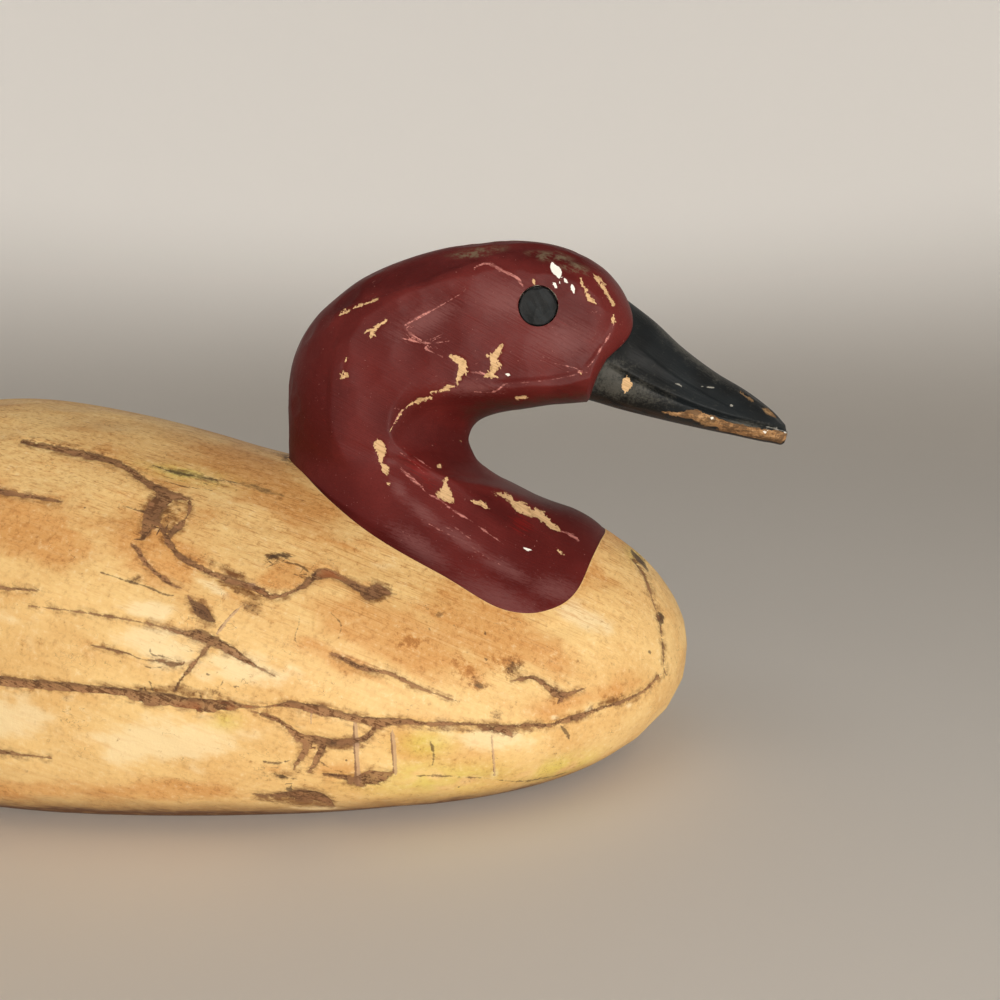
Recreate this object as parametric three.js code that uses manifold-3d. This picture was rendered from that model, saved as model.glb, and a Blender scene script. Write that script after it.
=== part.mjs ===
// A carved wooden duck decoy. The body is one solid block with a flat underside. The head, neck and bill are
// carved in one and let into a shallow seat on the breast, and a turned peg in each cheek is an eye.
// Millimetres. +X runs to the bill, +Y to the bird's left side and +Z up.
// The origin is on the ground under the middle of the whole length.

import * as THREE from 'three';
import { mergeVertices } from 'three/addons/utils/BufferGeometryUtils.js';
import Module from 'manifold-3d';

// Body: its reach, its widest place, and the lines that its sections hang from
const tailX = -212.5;
const tailZ = 71;
const tailEndX = -190;
const tailEndPower = 2.4;
const breastX = 178.4;
const breastZ = 39;
const widestX = 42;
const bodyHalfWidth = 76;
const breastPlanPower = 1.94;
const tailPlanPowers = [2.2, 1.8];

// Height of the back, of the widest line and of the keel under the floor, and how square the sections are
const shoulderX = 110;
const shoulderPower = 1.8;
const backLine = [
  [tailX, 82], [tailEndX, 89], [-165, 100], [-125, 116.5], [-67, 130], [-29, 125],
  [-2, 118], [16, 112.6], [30.3, 108.9], [60, 100], [85, 94.5], [shoulderX, 92],
];
const ridgeLine = [
  [tailX, tailZ], [-150, 62], [-67, 52], [0, 49], [28, 47], [60, 44],
  [87, 39.5], [113, 36], [135, 35.5], [breastX, breastZ],
];
const bowX = 75;
const bowPower = 2.4;
const keelLine = [
  [tailX, 64], [tailEndX, 55], [-172, 45], [-145, 24], [-115, 4], [-85, -7], [-50, -9.5], [42, -9],
  [bowX, -7.6],
];
const upperPowers = [[tailX, 1.8], [-100, 1.95], [0, 1.95], [42, 1.8], [90, 1.5], [113, 1.42], [145, 1.6],
  [breastX, 1.9]];
const lowerPowers = [[tailX, 2.2], [-100, 2.8], [60, 2.75], [100, 2.55], [140, 2.4], [breastX, 2.1]];
const bodyRings = 46;
const bodySides = 40;

// Foot of the neck on the body: half width against the angle round the outline, from its back to its front
const footBackX = 30.3;
const footFrontX = 146.6;
const footOutline = [
  [0, 0], [28.6, 13.4], [49, 27.2], [63, 35], [90, 42.5], [109, 46.4], [125, 43.6], [140, 35.3],
  [152, 21.5], [160, 13.4], [180, 0],
];

// Seat for the head: two flats that meet in a ridge on the centre line
const seatDepth = 6;
const seatBackZ = 108.9 - seatDepth;
const seatFrontZ = 81 - seatDepth;
const seatSideSlope = 0.6;
const fitGap = 0.3;
const cutterTopZ = 140;

// Two rings of the flare above the foot, which follow the body's surface at a lift
const flare = [
  {
    backX: 30.4, frontX: 143, halfWidth: 37.5, widest: 0.66, powers: [1.8, 1.8],
    lift: [[0, 0.4], [1, 0.4]],
  },
  {
    backX: 30.6, frontX: 135.5, halfWidth: 28.5, widest: 0.58, powers: [2, 1.9],
    lift: [[0, 6], [0.12, 7.5], [0.35, 9], [0.7, 7], [0.9, 2.5], [1, 0.8]],
  },
];

// Sections of the neck, head and bill, each in a plane that leans with the neck and turns forward over the
// head. back and front are its ends on the centre line, widest is where between them it is widest, the powers
// say how full it is on either side of that, and bow is how far the section is curved towards the bill. The
// head was sawn from a board, and what a section would stand out beyond the board's faces is flat.
const boardHalf = 22.8;
const sections = [
  { back: [31, 120], front: [122.5, 91.8], halfWidth: 25.5, widest: 0.5, powers: [2.2, 1.8], bow: 0 },
  { back: [31.6, 128], front: [108, 98.2], halfWidth: 24.8, widest: 0.48, powers: [2.3, 1.55], bow: 0 },
  { back: [32.4, 136], front: [98.3, 105.2], halfWidth: 24.6, widest: 0.49, powers: [2.35, 1.38], bow: 0 },
  { back: [34.6, 144.5], front: [94.7, 113.3], halfWidth: 24.6, widest: 0.5, powers: [2.4, 1.38], bow: 0 },
  { back: [39, 153.2], front: [95.9, 118], halfWidth: 24.8, widest: 0.5, powers: [2.45, 1.48], bow: 0 },
  { back: [47, 162.3], front: [99.5, 121.3], halfWidth: 25.2, widest: 0.52, powers: [2.5, 1.7], bow: 0 },
  { back: [60, 171.6], front: [105.2, 123.8], halfWidth: 25.6, widest: 0.55, powers: [2.55, 2.1], bow: 0 },
  { back: [76, 178.2], front: [111, 125.3], halfWidth: 26, widest: 0.58, powers: [2.6, 2.5], bow: 0 },
  { back: [93, 182.4], front: [118, 126.5], halfWidth: 26, widest: 0.6, powers: [2.65, 2.8], bow: 0 },
  { back: [109, 184], front: [125, 127.6], halfWidth: 26, widest: 0.6, powers: [2.65, 3], bow: 0 },
  { back: [123, 183.2], front: [130, 128], halfWidth: 25.8, widest: 0.6, powers: [2.6, 3], bow: 0 },
  { back: [134, 180.2], front: [134, 128.3], halfWidth: 25.2, widest: 0.6, powers: [2.5, 3], bow: 0.1 },
  { back: [142.5, 175.6], front: [136.6, 128.5], halfWidth: 24.2, widest: 0.6, powers: [2.35, 2.9], bow: 0.28 },
  { back: [147.8, 171], front: [138, 128.6], halfWidth: 21.6, widest: 0.6, powers: [2.1, 2.7], bow: 0.58 },
  { back: [150.7, 167.1], front: [138.6, 128.6], halfWidth: 18.4, widest: 0.6, powers: [2, 2.5], bow: 0.78 },
  { back: [151, 165.8], front: [139.1, 129.4], halfWidth: 15.2, widest: 0.66, powers: [1.8, 2.4], bow: 0.75 },
  { back: [162.9, 156.9], front: [151, 126], halfWidth: 14.2, widest: 0.68, powers: [1.75, 2.5], bow: 0.35 },
  { back: [173, 148], front: [163, 123], halfWidth: 13.8, widest: 0.7, powers: [1.7, 2.5], bow: 0.05 },
  { back: [185, 139.4], front: [176, 120], halfWidth: 13.4, widest: 0.7, powers: [1.7, 2.4], bow: 0 },
  { back: [196, 133], front: [190, 117], halfWidth: 12.6, widest: 0.68, powers: [1.8, 2.3], bow: 0 },
  { back: [205, 126.6], front: [202.5, 114.4], halfWidth: 10.8, widest: 0.62, powers: [1.9, 2.2], bow: 0 },
  { back: [210.3, 121.2], front: [209.3, 113], halfWidth: 7.6, widest: 0.58, powers: [2, 2], bow: 0 },
];
const billTip = [212.5, 116.4];
const bowReach = 6.7;
const bowEnd = 0.62;
const bowDip = 1.3;
const headSides = 40;
const ringsBetweenSections = 2;

// Mouth: a knife cut along each side of the bill
const mouthLine = [[143.2, 142.6], [155, 136.2], [170, 129.6], [190, 123], [203, 120.2], [214, 119]];
const mouthWidth = 1.3;
const mouthDepth = 1.3;
const mouthSteps = 16;

// Eyes: a round peg in a drilled hole, its face cut a little below the cheek
const eyeX = 120;
const eyeZ = 160.5;
const holeRadius = 6.6;
const pegRadius = 6.3;
const holeBottomY = 15;
const pegFaceY = 21.5;
const pegFaceDrop = 0.9;
const pegSides = 24;

const wasm = await Module();
wasm.setup();

// Smooth curve through [x, value] pairs, held level beyond its ends
function curveAt(points, x) {
  const last = points.length - 1;
  const at = THREE.MathUtils.clamp(x, points[0][0], points[last][0]);
  let i = 0;
  while (i < last - 1 && at > points[i + 1][0]) {
    i += 1;
  }
  const slope = (k) => (points[k + 1][1] - points[k][1]) / (points[k + 1][0] - points[k][0]);
  const step = (k) => points[k + 1][0] - points[k][0];
  const tangent = (k) => {
    if (k === 0) return slope(0);
    if (k === last) return slope(last - 1);
    return (slope(k) * step(k - 1) + slope(k - 1) * step(k)) / (step(k) + step(k - 1));
  };
  const h = step(i);
  const t = (at - points[i][0]) / h;
  const u = 1 - t;
  return (1 + 2 * t) * u * u * points[i][1] + t * u * u * h * tangent(i)
    + t * t * (1 + 2 * u) * points[i + 1][1] - t * t * u * h * tangent(i + 1);
}

// The fall of a rounded end: 1 at u = 0 and 0 at u = 1
function roundEnd(u, power) {
  return (1 - THREE.MathUtils.clamp(u, 0, 1) ** power) ** (1 / power);
}

function bodyWidthAt(x) {
  if (x > widestX) {
    return bodyHalfWidth * roundEnd((x - widestX) / (breastX - widestX), breastPlanPower);
  }
  const u = (widestX - x) / (widestX - tailX);
  return bodyHalfWidth * (1 - u ** tailPlanPowers[0]) ** (1 / tailPlanPowers[1]);
}

// A line along the body, drawn in to one point at the tail and to another at the breast
function bodyLineAt(line, x, frontX, frontPower) {
  const middle = curveAt(line, x);
  if (x < tailEndX) {
    return tailZ + (middle - tailZ) * roundEnd((tailEndX - x) / (tailEndX - tailX), tailEndPower);
  }
  return breastZ + (middle - breastZ) * roundEnd((x - frontX) / (breastX - frontX), frontPower);
}

function backAt(x) {
  return bodyLineAt(backLine, x, shoulderX, shoulderPower);
}

function keelAt(x) {
  return bodyLineAt(keelLine, x, bowX, bowPower);
}

function ridgeAt(x) {
  return THREE.MathUtils.clamp(curveAt(ridgeLine, x), keelAt(x), backAt(x));
}

// Height of the body's upper surface
function bodyTopAt(x, y) {
  const across = Math.abs(y) / bodyWidthAt(x);
  return ridgeAt(x) + (backAt(x) - ridgeAt(x)) * roundEnd(across, curveAt(upperPowers, x));
}

// One section of the body across X, cut off flat at the ground
function bodyRing(x) {
  const ring = [];
  for (let j = 0; j < bodySides; j += 1) {
    const angle = (2 * Math.PI * j) / bodySides;
    const upper = Math.cos(angle) >= 0;
    const power = 2 / curveAt(upper ? upperPowers : lowerPowers, x);
    const y = Math.sign(Math.sin(angle)) * bodyWidthAt(x) * Math.abs(Math.sin(angle)) ** power;
    const reach = upper ? backAt(x) - ridgeAt(x) : keelAt(x) - ridgeAt(x);
    const z = ridgeAt(x) + reach * Math.abs(Math.cos(angle)) ** power;
    ring.push(new THREE.Vector3(x, y, Math.max(z, 0)));
  }
  return ring;
}

// Share of the way from the back of a head ring to its front, at an angle round it
function shareAt(angle) {
  return (1 - Math.cos(angle)) / 2;
}

function widthShare(t, widest, powers) {
  if (t < widest) return roundEnd((widest - t) / widest, powers[0]);
  return roundEnd((t - widest) / (1 - widest), powers[1]);
}

function angles(sides) {
  return Array.from({ length: sides }, (_, j) => (2 * Math.PI * j) / sides);
}

// Outline of the neck's foot in plan, grown by a margin
function footPoint(angle, margin) {
  const side = angle > Math.PI ? 2 * Math.PI - angle : angle;
  const x = THREE.MathUtils.lerp(footBackX - margin, footFrontX + margin, shareAt(side));
  const width = curveAt(footOutline, THREE.MathUtils.radToDeg(side));
  return [x, Math.sign(Math.sin(angle)) * (width + margin * Math.sin(side))];
}

function seatAt(x, y) {
  const along = (x - footBackX) / (footFrontX - footBackX);
  return THREE.MathUtils.lerp(seatBackZ, seatFrontZ, along) - seatSideSlope * Math.abs(y);
}

function footRing(heightAt, margin) {
  return angles(headSides).map((angle) => {
    const [x, y] = footPoint(angle, margin);
    return new THREE.Vector3(x, y, heightAt(x, y));
  });
}

function flareRing(stage) {
  return angles(headSides).map((angle) => {
    const t = shareAt(angle);
    const x = THREE.MathUtils.lerp(stage.backX, stage.frontX, t);
    const width = stage.halfWidth * widthShare(t, stage.widest, stage.powers);
    const y = Math.sign(Math.sin(angle)) * width;
    return new THREE.Vector3(x, y, bodyTopAt(x, y) + curveAt(stage.lift, t));
  });
}

// Forward bow of a section: out over the bill's root, and in a little below it
function bowAt(t) {
  if (t < bowEnd) return bowReach * Math.sin((Math.PI * t) / bowEnd) ** 1.2;
  return -bowDip * Math.sin((Math.PI * (t - bowEnd)) / (1 - bowEnd));
}

function sectionRing(section, inset) {
  const [backX, backZ] = section.back;
  const [frontX, frontZ] = section.front;
  const forward = new THREE.Vector2(backZ - frontZ, frontX - backX).normalize();
  return angles(headSides).map((angle) => {
    const t = shareAt(angle);
    const lean = section.bow * bowAt(t);
    const x = THREE.MathUtils.lerp(backX, frontX, t) + forward.x * lean;
    const z = THREE.MathUtils.lerp(backZ, frontZ, t) + forward.y * lean;
    const carved = (section.halfWidth - inset) * widthShare(t, section.widest, section.powers);
    return new THREE.Vector3(x, Math.sign(Math.sin(angle)) * Math.min(carved, boardHalf), z);
  });
}

// Rings between the given ones, on smooth curves through them
function smoothRings(rings, between) {
  const curves = rings[0].map((_, j) => {
    const along = (axis) => rings.map((ring, k) => [k, ring[j][axis]]);
    return { x: along('x'), y: along('y'), z: along('z') };
  });
  const count = (rings.length - 1) * between + 1;
  return Array.from({ length: count }, (_, k) => curves.map((curve) => {
    const at = k / between;
    return new THREE.Vector3(curveAt(curve.x, at), curveAt(curve.y, at), curveAt(curve.z, at));
  }));
}

// Closed body through rings of points. An end is one point, or a list of points on the centre line, one
// between each mirrored pair of the ring's points, which closes the end with a strip on either side of it.
function closedLoft(rings, start, end) {
  const sides = rings[0].length;
  const half = sides / 2;
  const points = rings.flat();
  const faces = [];
  for (let i = 0; i < rings.length - 1; i += 1) {
    for (let j = 0; j < sides; j += 1) {
      const next = (j + 1) % sides;
      const [a, b] = [i * sides + j, i * sides + next];
      faces.push([a, b + sides, b], [a, a + sides, b + sides]);
    }
  }
  const closeEnd = (ring, ending, turned) => {
    const first = points.length;
    points.push(...ending);
    const corner = (j) => ring * sides + ((j + sides) % sides);
    const centre = (j) => {
      if (ending.length === 1) return first;
      return j === 0 || j === half ? corner(j) : first + j - 1;
    };
    for (let j = 0; j < half; j += 1) {
      for (const side of [1, -1]) {
        const quad = [corner(side * j), corner(side * (j + 1)), centre(j + 1), centre(j)];
        for (const face of [[quad[0], quad[1], quad[2]], [quad[0], quad[2], quad[3]]]) {
          if (new Set(face).size === 3) {
            faces.push(side === turned ? face : face.reverse());
          }
        }
      }
    }
  };
  closeEnd(0, start, 1);
  closeEnd(rings.length - 1, end, -1);
  const geometry = new THREE.BufferGeometry();
  geometry.setAttribute('position', new THREE.Float32BufferAttribute(points.flatMap((p) => p.toArray()), 3));
  geometry.setIndex(faces.flat());
  return geometry;
}

// The points on the centre line that close a ring of the foot
function centreLine(ring, heightAt) {
  return ring.slice(1, ring.length / 2).map((p) => new THREE.Vector3(p.x, 0, heightAt(p.x, 0)));
}

function toSolid(geometry) {
  const bare = geometry.clone();
  bare.deleteAttribute('normal');
  bare.deleteAttribute('uv');
  const merged = mergeVertices(bare);
  return new wasm.Manifold(new wasm.Mesh({
    numProp: 3,
    vertProperties: Float32Array.from(merged.attributes.position.array),
    triVerts: Uint32Array.from(merged.index.array),
  }));
}

function toGeometry(solid) {
  const mesh = solid.getMesh();
  const geometry = new THREE.BufferGeometry();
  geometry.setAttribute('position', new THREE.BufferAttribute(mesh.vertProperties, mesh.numProp));
  geometry.setIndex(new THREE.BufferAttribute(mesh.triVerts, 1));
  geometry.computeVertexNormals();
  return geometry;
}

function bodySolid() {
  const rings = [];
  for (let i = 1; i < bodyRings; i += 1) {
    const share = (1 - Math.cos((Math.PI * i) / bodyRings)) / 2;
    rings.push(bodyRing(THREE.MathUtils.lerp(tailX, breastX, share)));
  }
  const tail = new THREE.Vector3(tailX, 0, tailZ);
  const breast = new THREE.Vector3(breastX, 0, breastZ);
  return toSolid(closedLoft(rings, [tail], [breast]));
}

// What is cut from the body for the head: the foot's outline, from the seat upwards
function seatCutter() {
  const floor = footRing(seatAt, fitGap);
  const top = footRing(() => cutterTopZ, fitGap);
  return toSolid(closedLoft([floor, top], centreLine(floor, seatAt), centreLine(top, () => cutterTopZ)));
}

function headSolid() {
  const underside = (x, y) => seatAt(x, y) + fitGap;
  const base = footRing(underside, 0);
  const carved = [footRing(bodyTopAt, 0), ...flare.map(flareRing), ...sections.map((s) => sectionRing(s, 0))];
  const rings = [base, ...smoothRings(carved, ringsBetweenSections)];
  const tip = new THREE.Vector3(billTip[0], 0, billTip[1]);
  return toSolid(closedLoft(rings, centreLine(base, underside), [tip]));
}

// A wall along the mouth, less the core of the bill, leaves a groove of even depth
function mouthCutter() {
  const start = mouthLine[0][0];
  const end = mouthLine[mouthLine.length - 1][0];
  const edge = (offset) => Array.from({ length: mouthSteps + 1 }, (_, i) => {
    const x = THREE.MathUtils.lerp(start, end, i / mouthSteps);
    return new THREE.Vector2(x, curveAt(mouthLine, x) + offset);
  });
  const outline = new THREE.Shape([...edge(-mouthWidth / 2), ...edge(mouthWidth / 2).reverse()]);
  const depth = 2 * boardHalf;
  const wall = new THREE.ExtrudeGeometry(outline, { depth, bevelEnabled: false });
  wall.rotateX(Math.PI / 2).translate(0, depth / 2, 0);
  const rings = smoothRings(sections.map((s) => sectionRing(s, mouthDepth)), ringsBetweenSections);
  const [backX, backZ] = sections[0].back;
  const [frontX, frontZ] = sections[0].front;
  const neck = new THREE.Vector3((backX + frontX) / 2, 0, (backZ + frontZ) / 2);
  const tip = new THREE.Vector3(billTip[0] - mouthDepth, 0, billTip[1]);
  return toSolid(wall).subtract(toSolid(closedLoft(rings, [neck], [tip])));
}

// Turned shape along the cheek's outward direction, from its profile of [radius, Y] pairs
function turned(profile, side) {
  const geometry = new THREE.LatheGeometry(profile.map(([r, y]) => new THREE.Vector2(r, y)), pegSides);
  if (side < 0) geometry.rotateX(Math.PI);
  return geometry.translate(eyeX, 0, eyeZ);
}

function eyeHole(side) {
  const mouthY = 2 * boardHalf;
  const profile = [[0, holeBottomY], [holeRadius, holeBottomY], [holeRadius, mouthY], [0, mouthY]];
  return toSolid(turned(profile, side));
}

function eyePeg(side) {
  const back = holeBottomY + fitGap;
  const rim = pegFaceY - pegFaceDrop;
  const crown = [[pegRadius * 0.85, pegFaceY - pegFaceDrop / 3], [pegRadius / 2, pegFaceY], [0, pegFaceY]];
  return turned([[0, back], [pegRadius, back], [pegRadius, rim], ...crown], side);
}

function piece(name, geometry, color, roughness) {
  const material = new THREE.MeshStandardMaterial({ color, roughness, metalness: 0 });
  const mesh = new THREE.Mesh(geometry, material);
  mesh.name = name;
  return mesh;
}

const body = bodySolid().subtract(seatCutter());
const head = headSolid().subtract(mouthCutter()).subtract(eyeHole(-1)).subtract(eyeHole(1));

const group = new THREE.Group();
group.add(piece('body', toGeometry(body), 0xebc98c, 0.55));
group.add(piece('head_and_neck', toGeometry(head), 0x6b2a2a, 0.4));
group.add(piece('eye_right', eyePeg(-1), 0x1c1b1c, 0.5));
group.add(piece('eye_left', eyePeg(1), 0x1c1b1c, 0.5));

export default group;
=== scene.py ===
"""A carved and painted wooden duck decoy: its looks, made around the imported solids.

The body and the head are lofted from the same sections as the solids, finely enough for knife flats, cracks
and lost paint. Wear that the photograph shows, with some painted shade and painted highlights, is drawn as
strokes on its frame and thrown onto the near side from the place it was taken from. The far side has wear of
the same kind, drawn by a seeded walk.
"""

import math

import bpy
import numpy as np
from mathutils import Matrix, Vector


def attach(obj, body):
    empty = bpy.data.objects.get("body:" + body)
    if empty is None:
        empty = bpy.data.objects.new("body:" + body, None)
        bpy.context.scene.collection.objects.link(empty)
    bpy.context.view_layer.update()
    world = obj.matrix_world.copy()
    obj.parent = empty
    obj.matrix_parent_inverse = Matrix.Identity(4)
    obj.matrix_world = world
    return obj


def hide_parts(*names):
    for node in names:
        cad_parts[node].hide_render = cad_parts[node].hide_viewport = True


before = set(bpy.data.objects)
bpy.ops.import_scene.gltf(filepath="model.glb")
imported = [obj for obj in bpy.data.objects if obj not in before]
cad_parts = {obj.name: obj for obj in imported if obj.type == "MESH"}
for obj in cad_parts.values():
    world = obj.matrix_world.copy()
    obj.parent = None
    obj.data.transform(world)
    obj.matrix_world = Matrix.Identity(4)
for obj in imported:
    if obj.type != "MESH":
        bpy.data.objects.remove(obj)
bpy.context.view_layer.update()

bl_info = {
    "name": "Duck Decoy",
    "version": (1, 0, 0),
    "blender": (4, 5, 0),
    "location": "View3D > Sidebar > Decoy",
    "description": "Dresses a carved wooden duck decoy in worn paint",
    "category": "Object",
}

MM = 0.001

# Where the photograph was taken from: millimetres, radians, and its own frame of 1000 by 1000
VIEW_X = 107.5
VIEW_BACK = 275.0
VIEW_HEIGHT = 138.0
VIEW_PITCH = math.radians(9.4)
FOCAL_PX = 751.0
FRAME_PX = 1000

# Body sections, as in the solids
TAIL_X, TAIL_Z, TAIL_END_X, TAIL_END_POWER = -212.5, 71.0, -190.0, 2.4
BREAST_X, BREAST_Z = 178.4, 39.0
WIDEST_X, BODY_HALF_WIDTH = 42.0, 76.0
BREAST_PLAN_POWER, TAIL_PLAN_POWERS = 1.94, (2.2, 1.8)
SHOULDER_X, SHOULDER_POWER = 110.0, 1.8
BACK_LINE = [(TAIL_X, 82), (TAIL_END_X, 89), (-165, 100), (-125, 116.5), (-67, 130), (-29, 125),
             (-2, 118), (16, 112.6), (30.3, 108.9), (60, 100), (85, 94.5), (SHOULDER_X, 92)]
RIDGE_LINE = [(TAIL_X, TAIL_Z), (-150, 62), (-67, 52), (0, 49), (28, 47), (60, 44),
              (87, 39.5), (113, 36), (135, 35.5), (BREAST_X, BREAST_Z)]
BOW_X, BOW_POWER = 75.0, 2.4
KEEL_LINE = [(TAIL_X, 64), (TAIL_END_X, 55), (-172, 45), (-145, 24), (-115, 4), (-85, -7), (-50, -9.5),
             (42, -9), (BOW_X, -7.6)]
UPPER_POWERS = [(TAIL_X, 1.8), (-100, 1.95), (0, 1.95), (42, 1.8), (90, 1.5), (113, 1.42), (145, 1.6),
                (BREAST_X, 1.9)]
LOWER_POWERS = [(TAIL_X, 2.2), (-100, 2.8), (60, 2.75), (100, 2.55), (140, 2.4), (BREAST_X, 2.1)]

# Foot of the neck, the seat under it and the flare above it, as in the solids
FOOT_BACK_X, FOOT_FRONT_X = 30.3, 146.6
FOOT_OUTLINE = [(0, 0), (28.6, 13.4), (49, 27.2), (63, 35), (90, 42.5), (109, 46.4), (125, 43.6), (140, 35.3),
                (152, 21.5), (160, 13.4), (180, 0)]
SEAT_BACK_Z, SEAT_FRONT_Z, SEAT_SIDE_SLOPE = 102.9, 75.0, 0.6
FLARE = [
    (30.4, 143.0, 37.5, 0.66, (1.8, 1.8), [(0, 0.4), (1, 0.4)]),
    (30.6, 135.5, 28.5, 0.58, (2.0, 1.9), [(0, 6), (0.12, 7.5), (0.35, 9), (0.7, 7), (0.9, 2.5), (1, 0.8)]),
]

# Head sections, as in the solids: back end, front end, half width, widest place, powers and bow
SECTIONS = [
    ((31, 120), (122.5, 91.8), 25.5, 0.5, (2.2, 1.8), 0),
    ((31.6, 128), (108, 98.2), 24.8, 0.48, (2.3, 1.55), 0),
    ((32.4, 136), (98.3, 105.2), 24.6, 0.49, (2.35, 1.38), 0),
    ((34.6, 144.5), (94.7, 113.3), 24.6, 0.5, (2.4, 1.38), 0),
    ((39, 153.2), (95.9, 118), 24.8, 0.5, (2.45, 1.48), 0),
    ((47, 162.3), (99.5, 121.3), 25.2, 0.52, (2.5, 1.7), 0),
    ((60, 171.6), (105.2, 123.8), 25.6, 0.55, (2.55, 2.1), 0),
    ((76, 178.2), (111, 125.3), 26, 0.58, (2.6, 2.5), 0),
    ((93, 182.4), (118, 126.5), 26, 0.6, (2.65, 2.8), 0),
    ((109, 184), (125, 127.6), 26, 0.6, (2.65, 3), 0),
    ((123, 183.2), (130, 128), 25.8, 0.6, (2.6, 3), 0),
    ((134, 180.2), (134, 128.3), 25.2, 0.6, (2.5, 3), 0.1),
    ((142.5, 175.6), (136.6, 128.5), 24.2, 0.6, (2.35, 2.9), 0.28),
    ((147.8, 171), (138, 128.6), 21.6, 0.6, (2.1, 2.7), 0.58),
    ((150.7, 167.1), (138.6, 128.6), 18.4, 0.6, (2, 2.5), 0.78),
    ((151, 165.8), (139.1, 129.4), 15.2, 0.66, (1.8, 2.4), 0.75),
    ((162.9, 156.9), (151, 126), 14.2, 0.68, (1.75, 2.5), 0.35),
    ((173, 148), (163, 123), 13.8, 0.7, (1.7, 2.5), 0.05),
    ((185, 139.4), (176, 120), 13.4, 0.7, (1.7, 2.4), 0),
    ((196, 133), (190, 117), 12.6, 0.68, (1.8, 2.3), 0),
    ((205, 126.6), (202.5, 114.4), 10.8, 0.62, (1.9, 2.2), 0),
    ((210.3, 121.2), (209.3, 113), 7.6, 0.58, (2.0, 2.0), 0),
]
BILL_TIP = (212.5, 116.4)
BOW_REACH, BOW_END, BOW_DIP = 6.7, 0.62, 1.3
PAINT_EDGE_SECTION = 14
MOUTH_LINE = [(143.2, 142.6), (155, 136.2), (170, 129.6), (190, 123), (203, 120.2), (214, 119)]
BOARD_HALF = 22.8
SEAT_GAP, SEAT_CUTTER_TOP = 0.05, 140.0

# Depths and half widths of the carved relief, in millimetres
GROOVE_DEPTH, GROOVE_WIDTH = 1.25, 0.62
BILL_HOLLOW_DEPTH, BILL_HOLLOW_WIDTH, BILL_HOLLOW_RISE = 0.7, 3.2, 5.5
BILL_PLANE_DEPTH, FACET_DEPTH, SCOOP_DEPTH = 0.5, 0.55, 0.8
FLARE_DEPTH, FLARE_WIDTH, THROAT_WIDTH = 0.5, 4.0, 5.0
BODY_SWELL, SWELL_LENGTH = 0.4, 55

# How finely the pieces are made
BODY_RINGS, NEAR_SIDES, FAR_SIDES, UNDER_SIDES = 400, 140, 56, 18
HEAD_SIDES, HEAD_RING_SPACING = 264, 0.95
EYE_SIDES = 96
UNDER_ANGLE, SHARP_ANGLE = math.radians(36), math.radians(48)

# Eye holes and pegs, as in the solids
EYE_X, EYE_Z = 120.0, 160.5
HOLE_RADIUS, PEG_RADIUS = 6.6, 6.25
HOLE_BOTTOM_Y, PEG_BACK_Y, PEG_FACE_Y, PEG_DOME = 15.0, 15.1, 21.6, 0.12
PEG_EDGE = [(0, 0.6), (0.15, 0.35)]
PEG_FACE_RADIUS, PEG_FACE_RINGS = 5.9, 26
EYE_CUTTER_END_Y = 40


def curve_through(points, x):
    """Smooth curve through (x, value) pairs, held level beyond its ends; a value may be an array."""
    knots = np.array([p[0] for p in points], float)
    values = np.array([p[1] for p in points], float)
    flat = values.reshape(len(knots), -1)
    at = np.clip(np.asarray(x, float), knots[0], knots[-1])
    steps = np.diff(knots)[:, None]
    slopes = np.diff(flat, axis=0) / steps
    tangents = np.empty_like(flat)
    tangents[0] = slopes[0]
    tangents[-1] = slopes[-1]
    tangents[1:-1] = (slopes[1:] * steps[:-1] + slopes[:-1] * steps[1:]) / (steps[:-1] + steps[1:])
    i = np.clip(np.searchsorted(knots, at.ravel(), side="right") - 1, 0, len(knots) - 2)
    h = steps[i]
    t = (at.ravel()[:, None] - knots[i][:, None]) / h
    u = 1 - t
    found = ((1 + 2 * t) * u * u * flat[i] + t * u * u * h * tangents[i]
             + t * t * (1 + 2 * u) * flat[i + 1] - t * t * u * h * tangents[i + 1])
    return found.reshape(at.shape + values.shape[1:])


def round_end(u, power):
    """The fall of a rounded end: 1 at u = 0 and 0 at u = 1."""
    return (1 - np.clip(u, 0, 1) ** power) ** (1 / power)


def body_width_at(x):
    forward = round_end((x - WIDEST_X) / (BREAST_X - WIDEST_X), BREAST_PLAN_POWER)
    back = np.clip((WIDEST_X - x) / (WIDEST_X - TAIL_X), 0, 1)
    aft = (1 - back ** TAIL_PLAN_POWERS[0]) ** (1 / TAIL_PLAN_POWERS[1])
    return BODY_HALF_WIDTH * np.where(x > WIDEST_X, forward, aft)


def body_line_at(line, x, front_x, front_power):
    """A line along the body, drawn in to one point at the tail and to another at the breast."""
    middle = curve_through(line, x)
    tail = round_end((TAIL_END_X - x) / (TAIL_END_X - TAIL_X), TAIL_END_POWER)
    breast = round_end((x - front_x) / (BREAST_X - front_x), front_power)
    return np.where(x < TAIL_END_X, TAIL_Z + (middle - TAIL_Z) * tail,
                    BREAST_Z + (middle - BREAST_Z) * breast)


def back_at(x):
    return body_line_at(BACK_LINE, x, SHOULDER_X, SHOULDER_POWER)


def keel_at(x):
    return body_line_at(KEEL_LINE, x, BOW_X, BOW_POWER)


def ridge_at(x):
    return np.clip(curve_through(RIDGE_LINE, x), keel_at(x), back_at(x))


def body_top_at(x, y):
    across = np.abs(y) / np.maximum(body_width_at(x), 1e-6)
    ridge = ridge_at(x)
    return ridge + (back_at(x) - ridge) * round_end(across, curve_through(UPPER_POWERS, x))


def around(count):
    """Angles all the way round, evenly spaced."""
    return np.linspace(0, 2 * math.pi, count, endpoint=False)


def seat_at(x, y):
    along = (x - FOOT_BACK_X) / (FOOT_FRONT_X - FOOT_BACK_X)
    return SEAT_BACK_Z + (SEAT_FRONT_Z - SEAT_BACK_Z) * along - SEAT_SIDE_SLOPE * np.abs(y)


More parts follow.
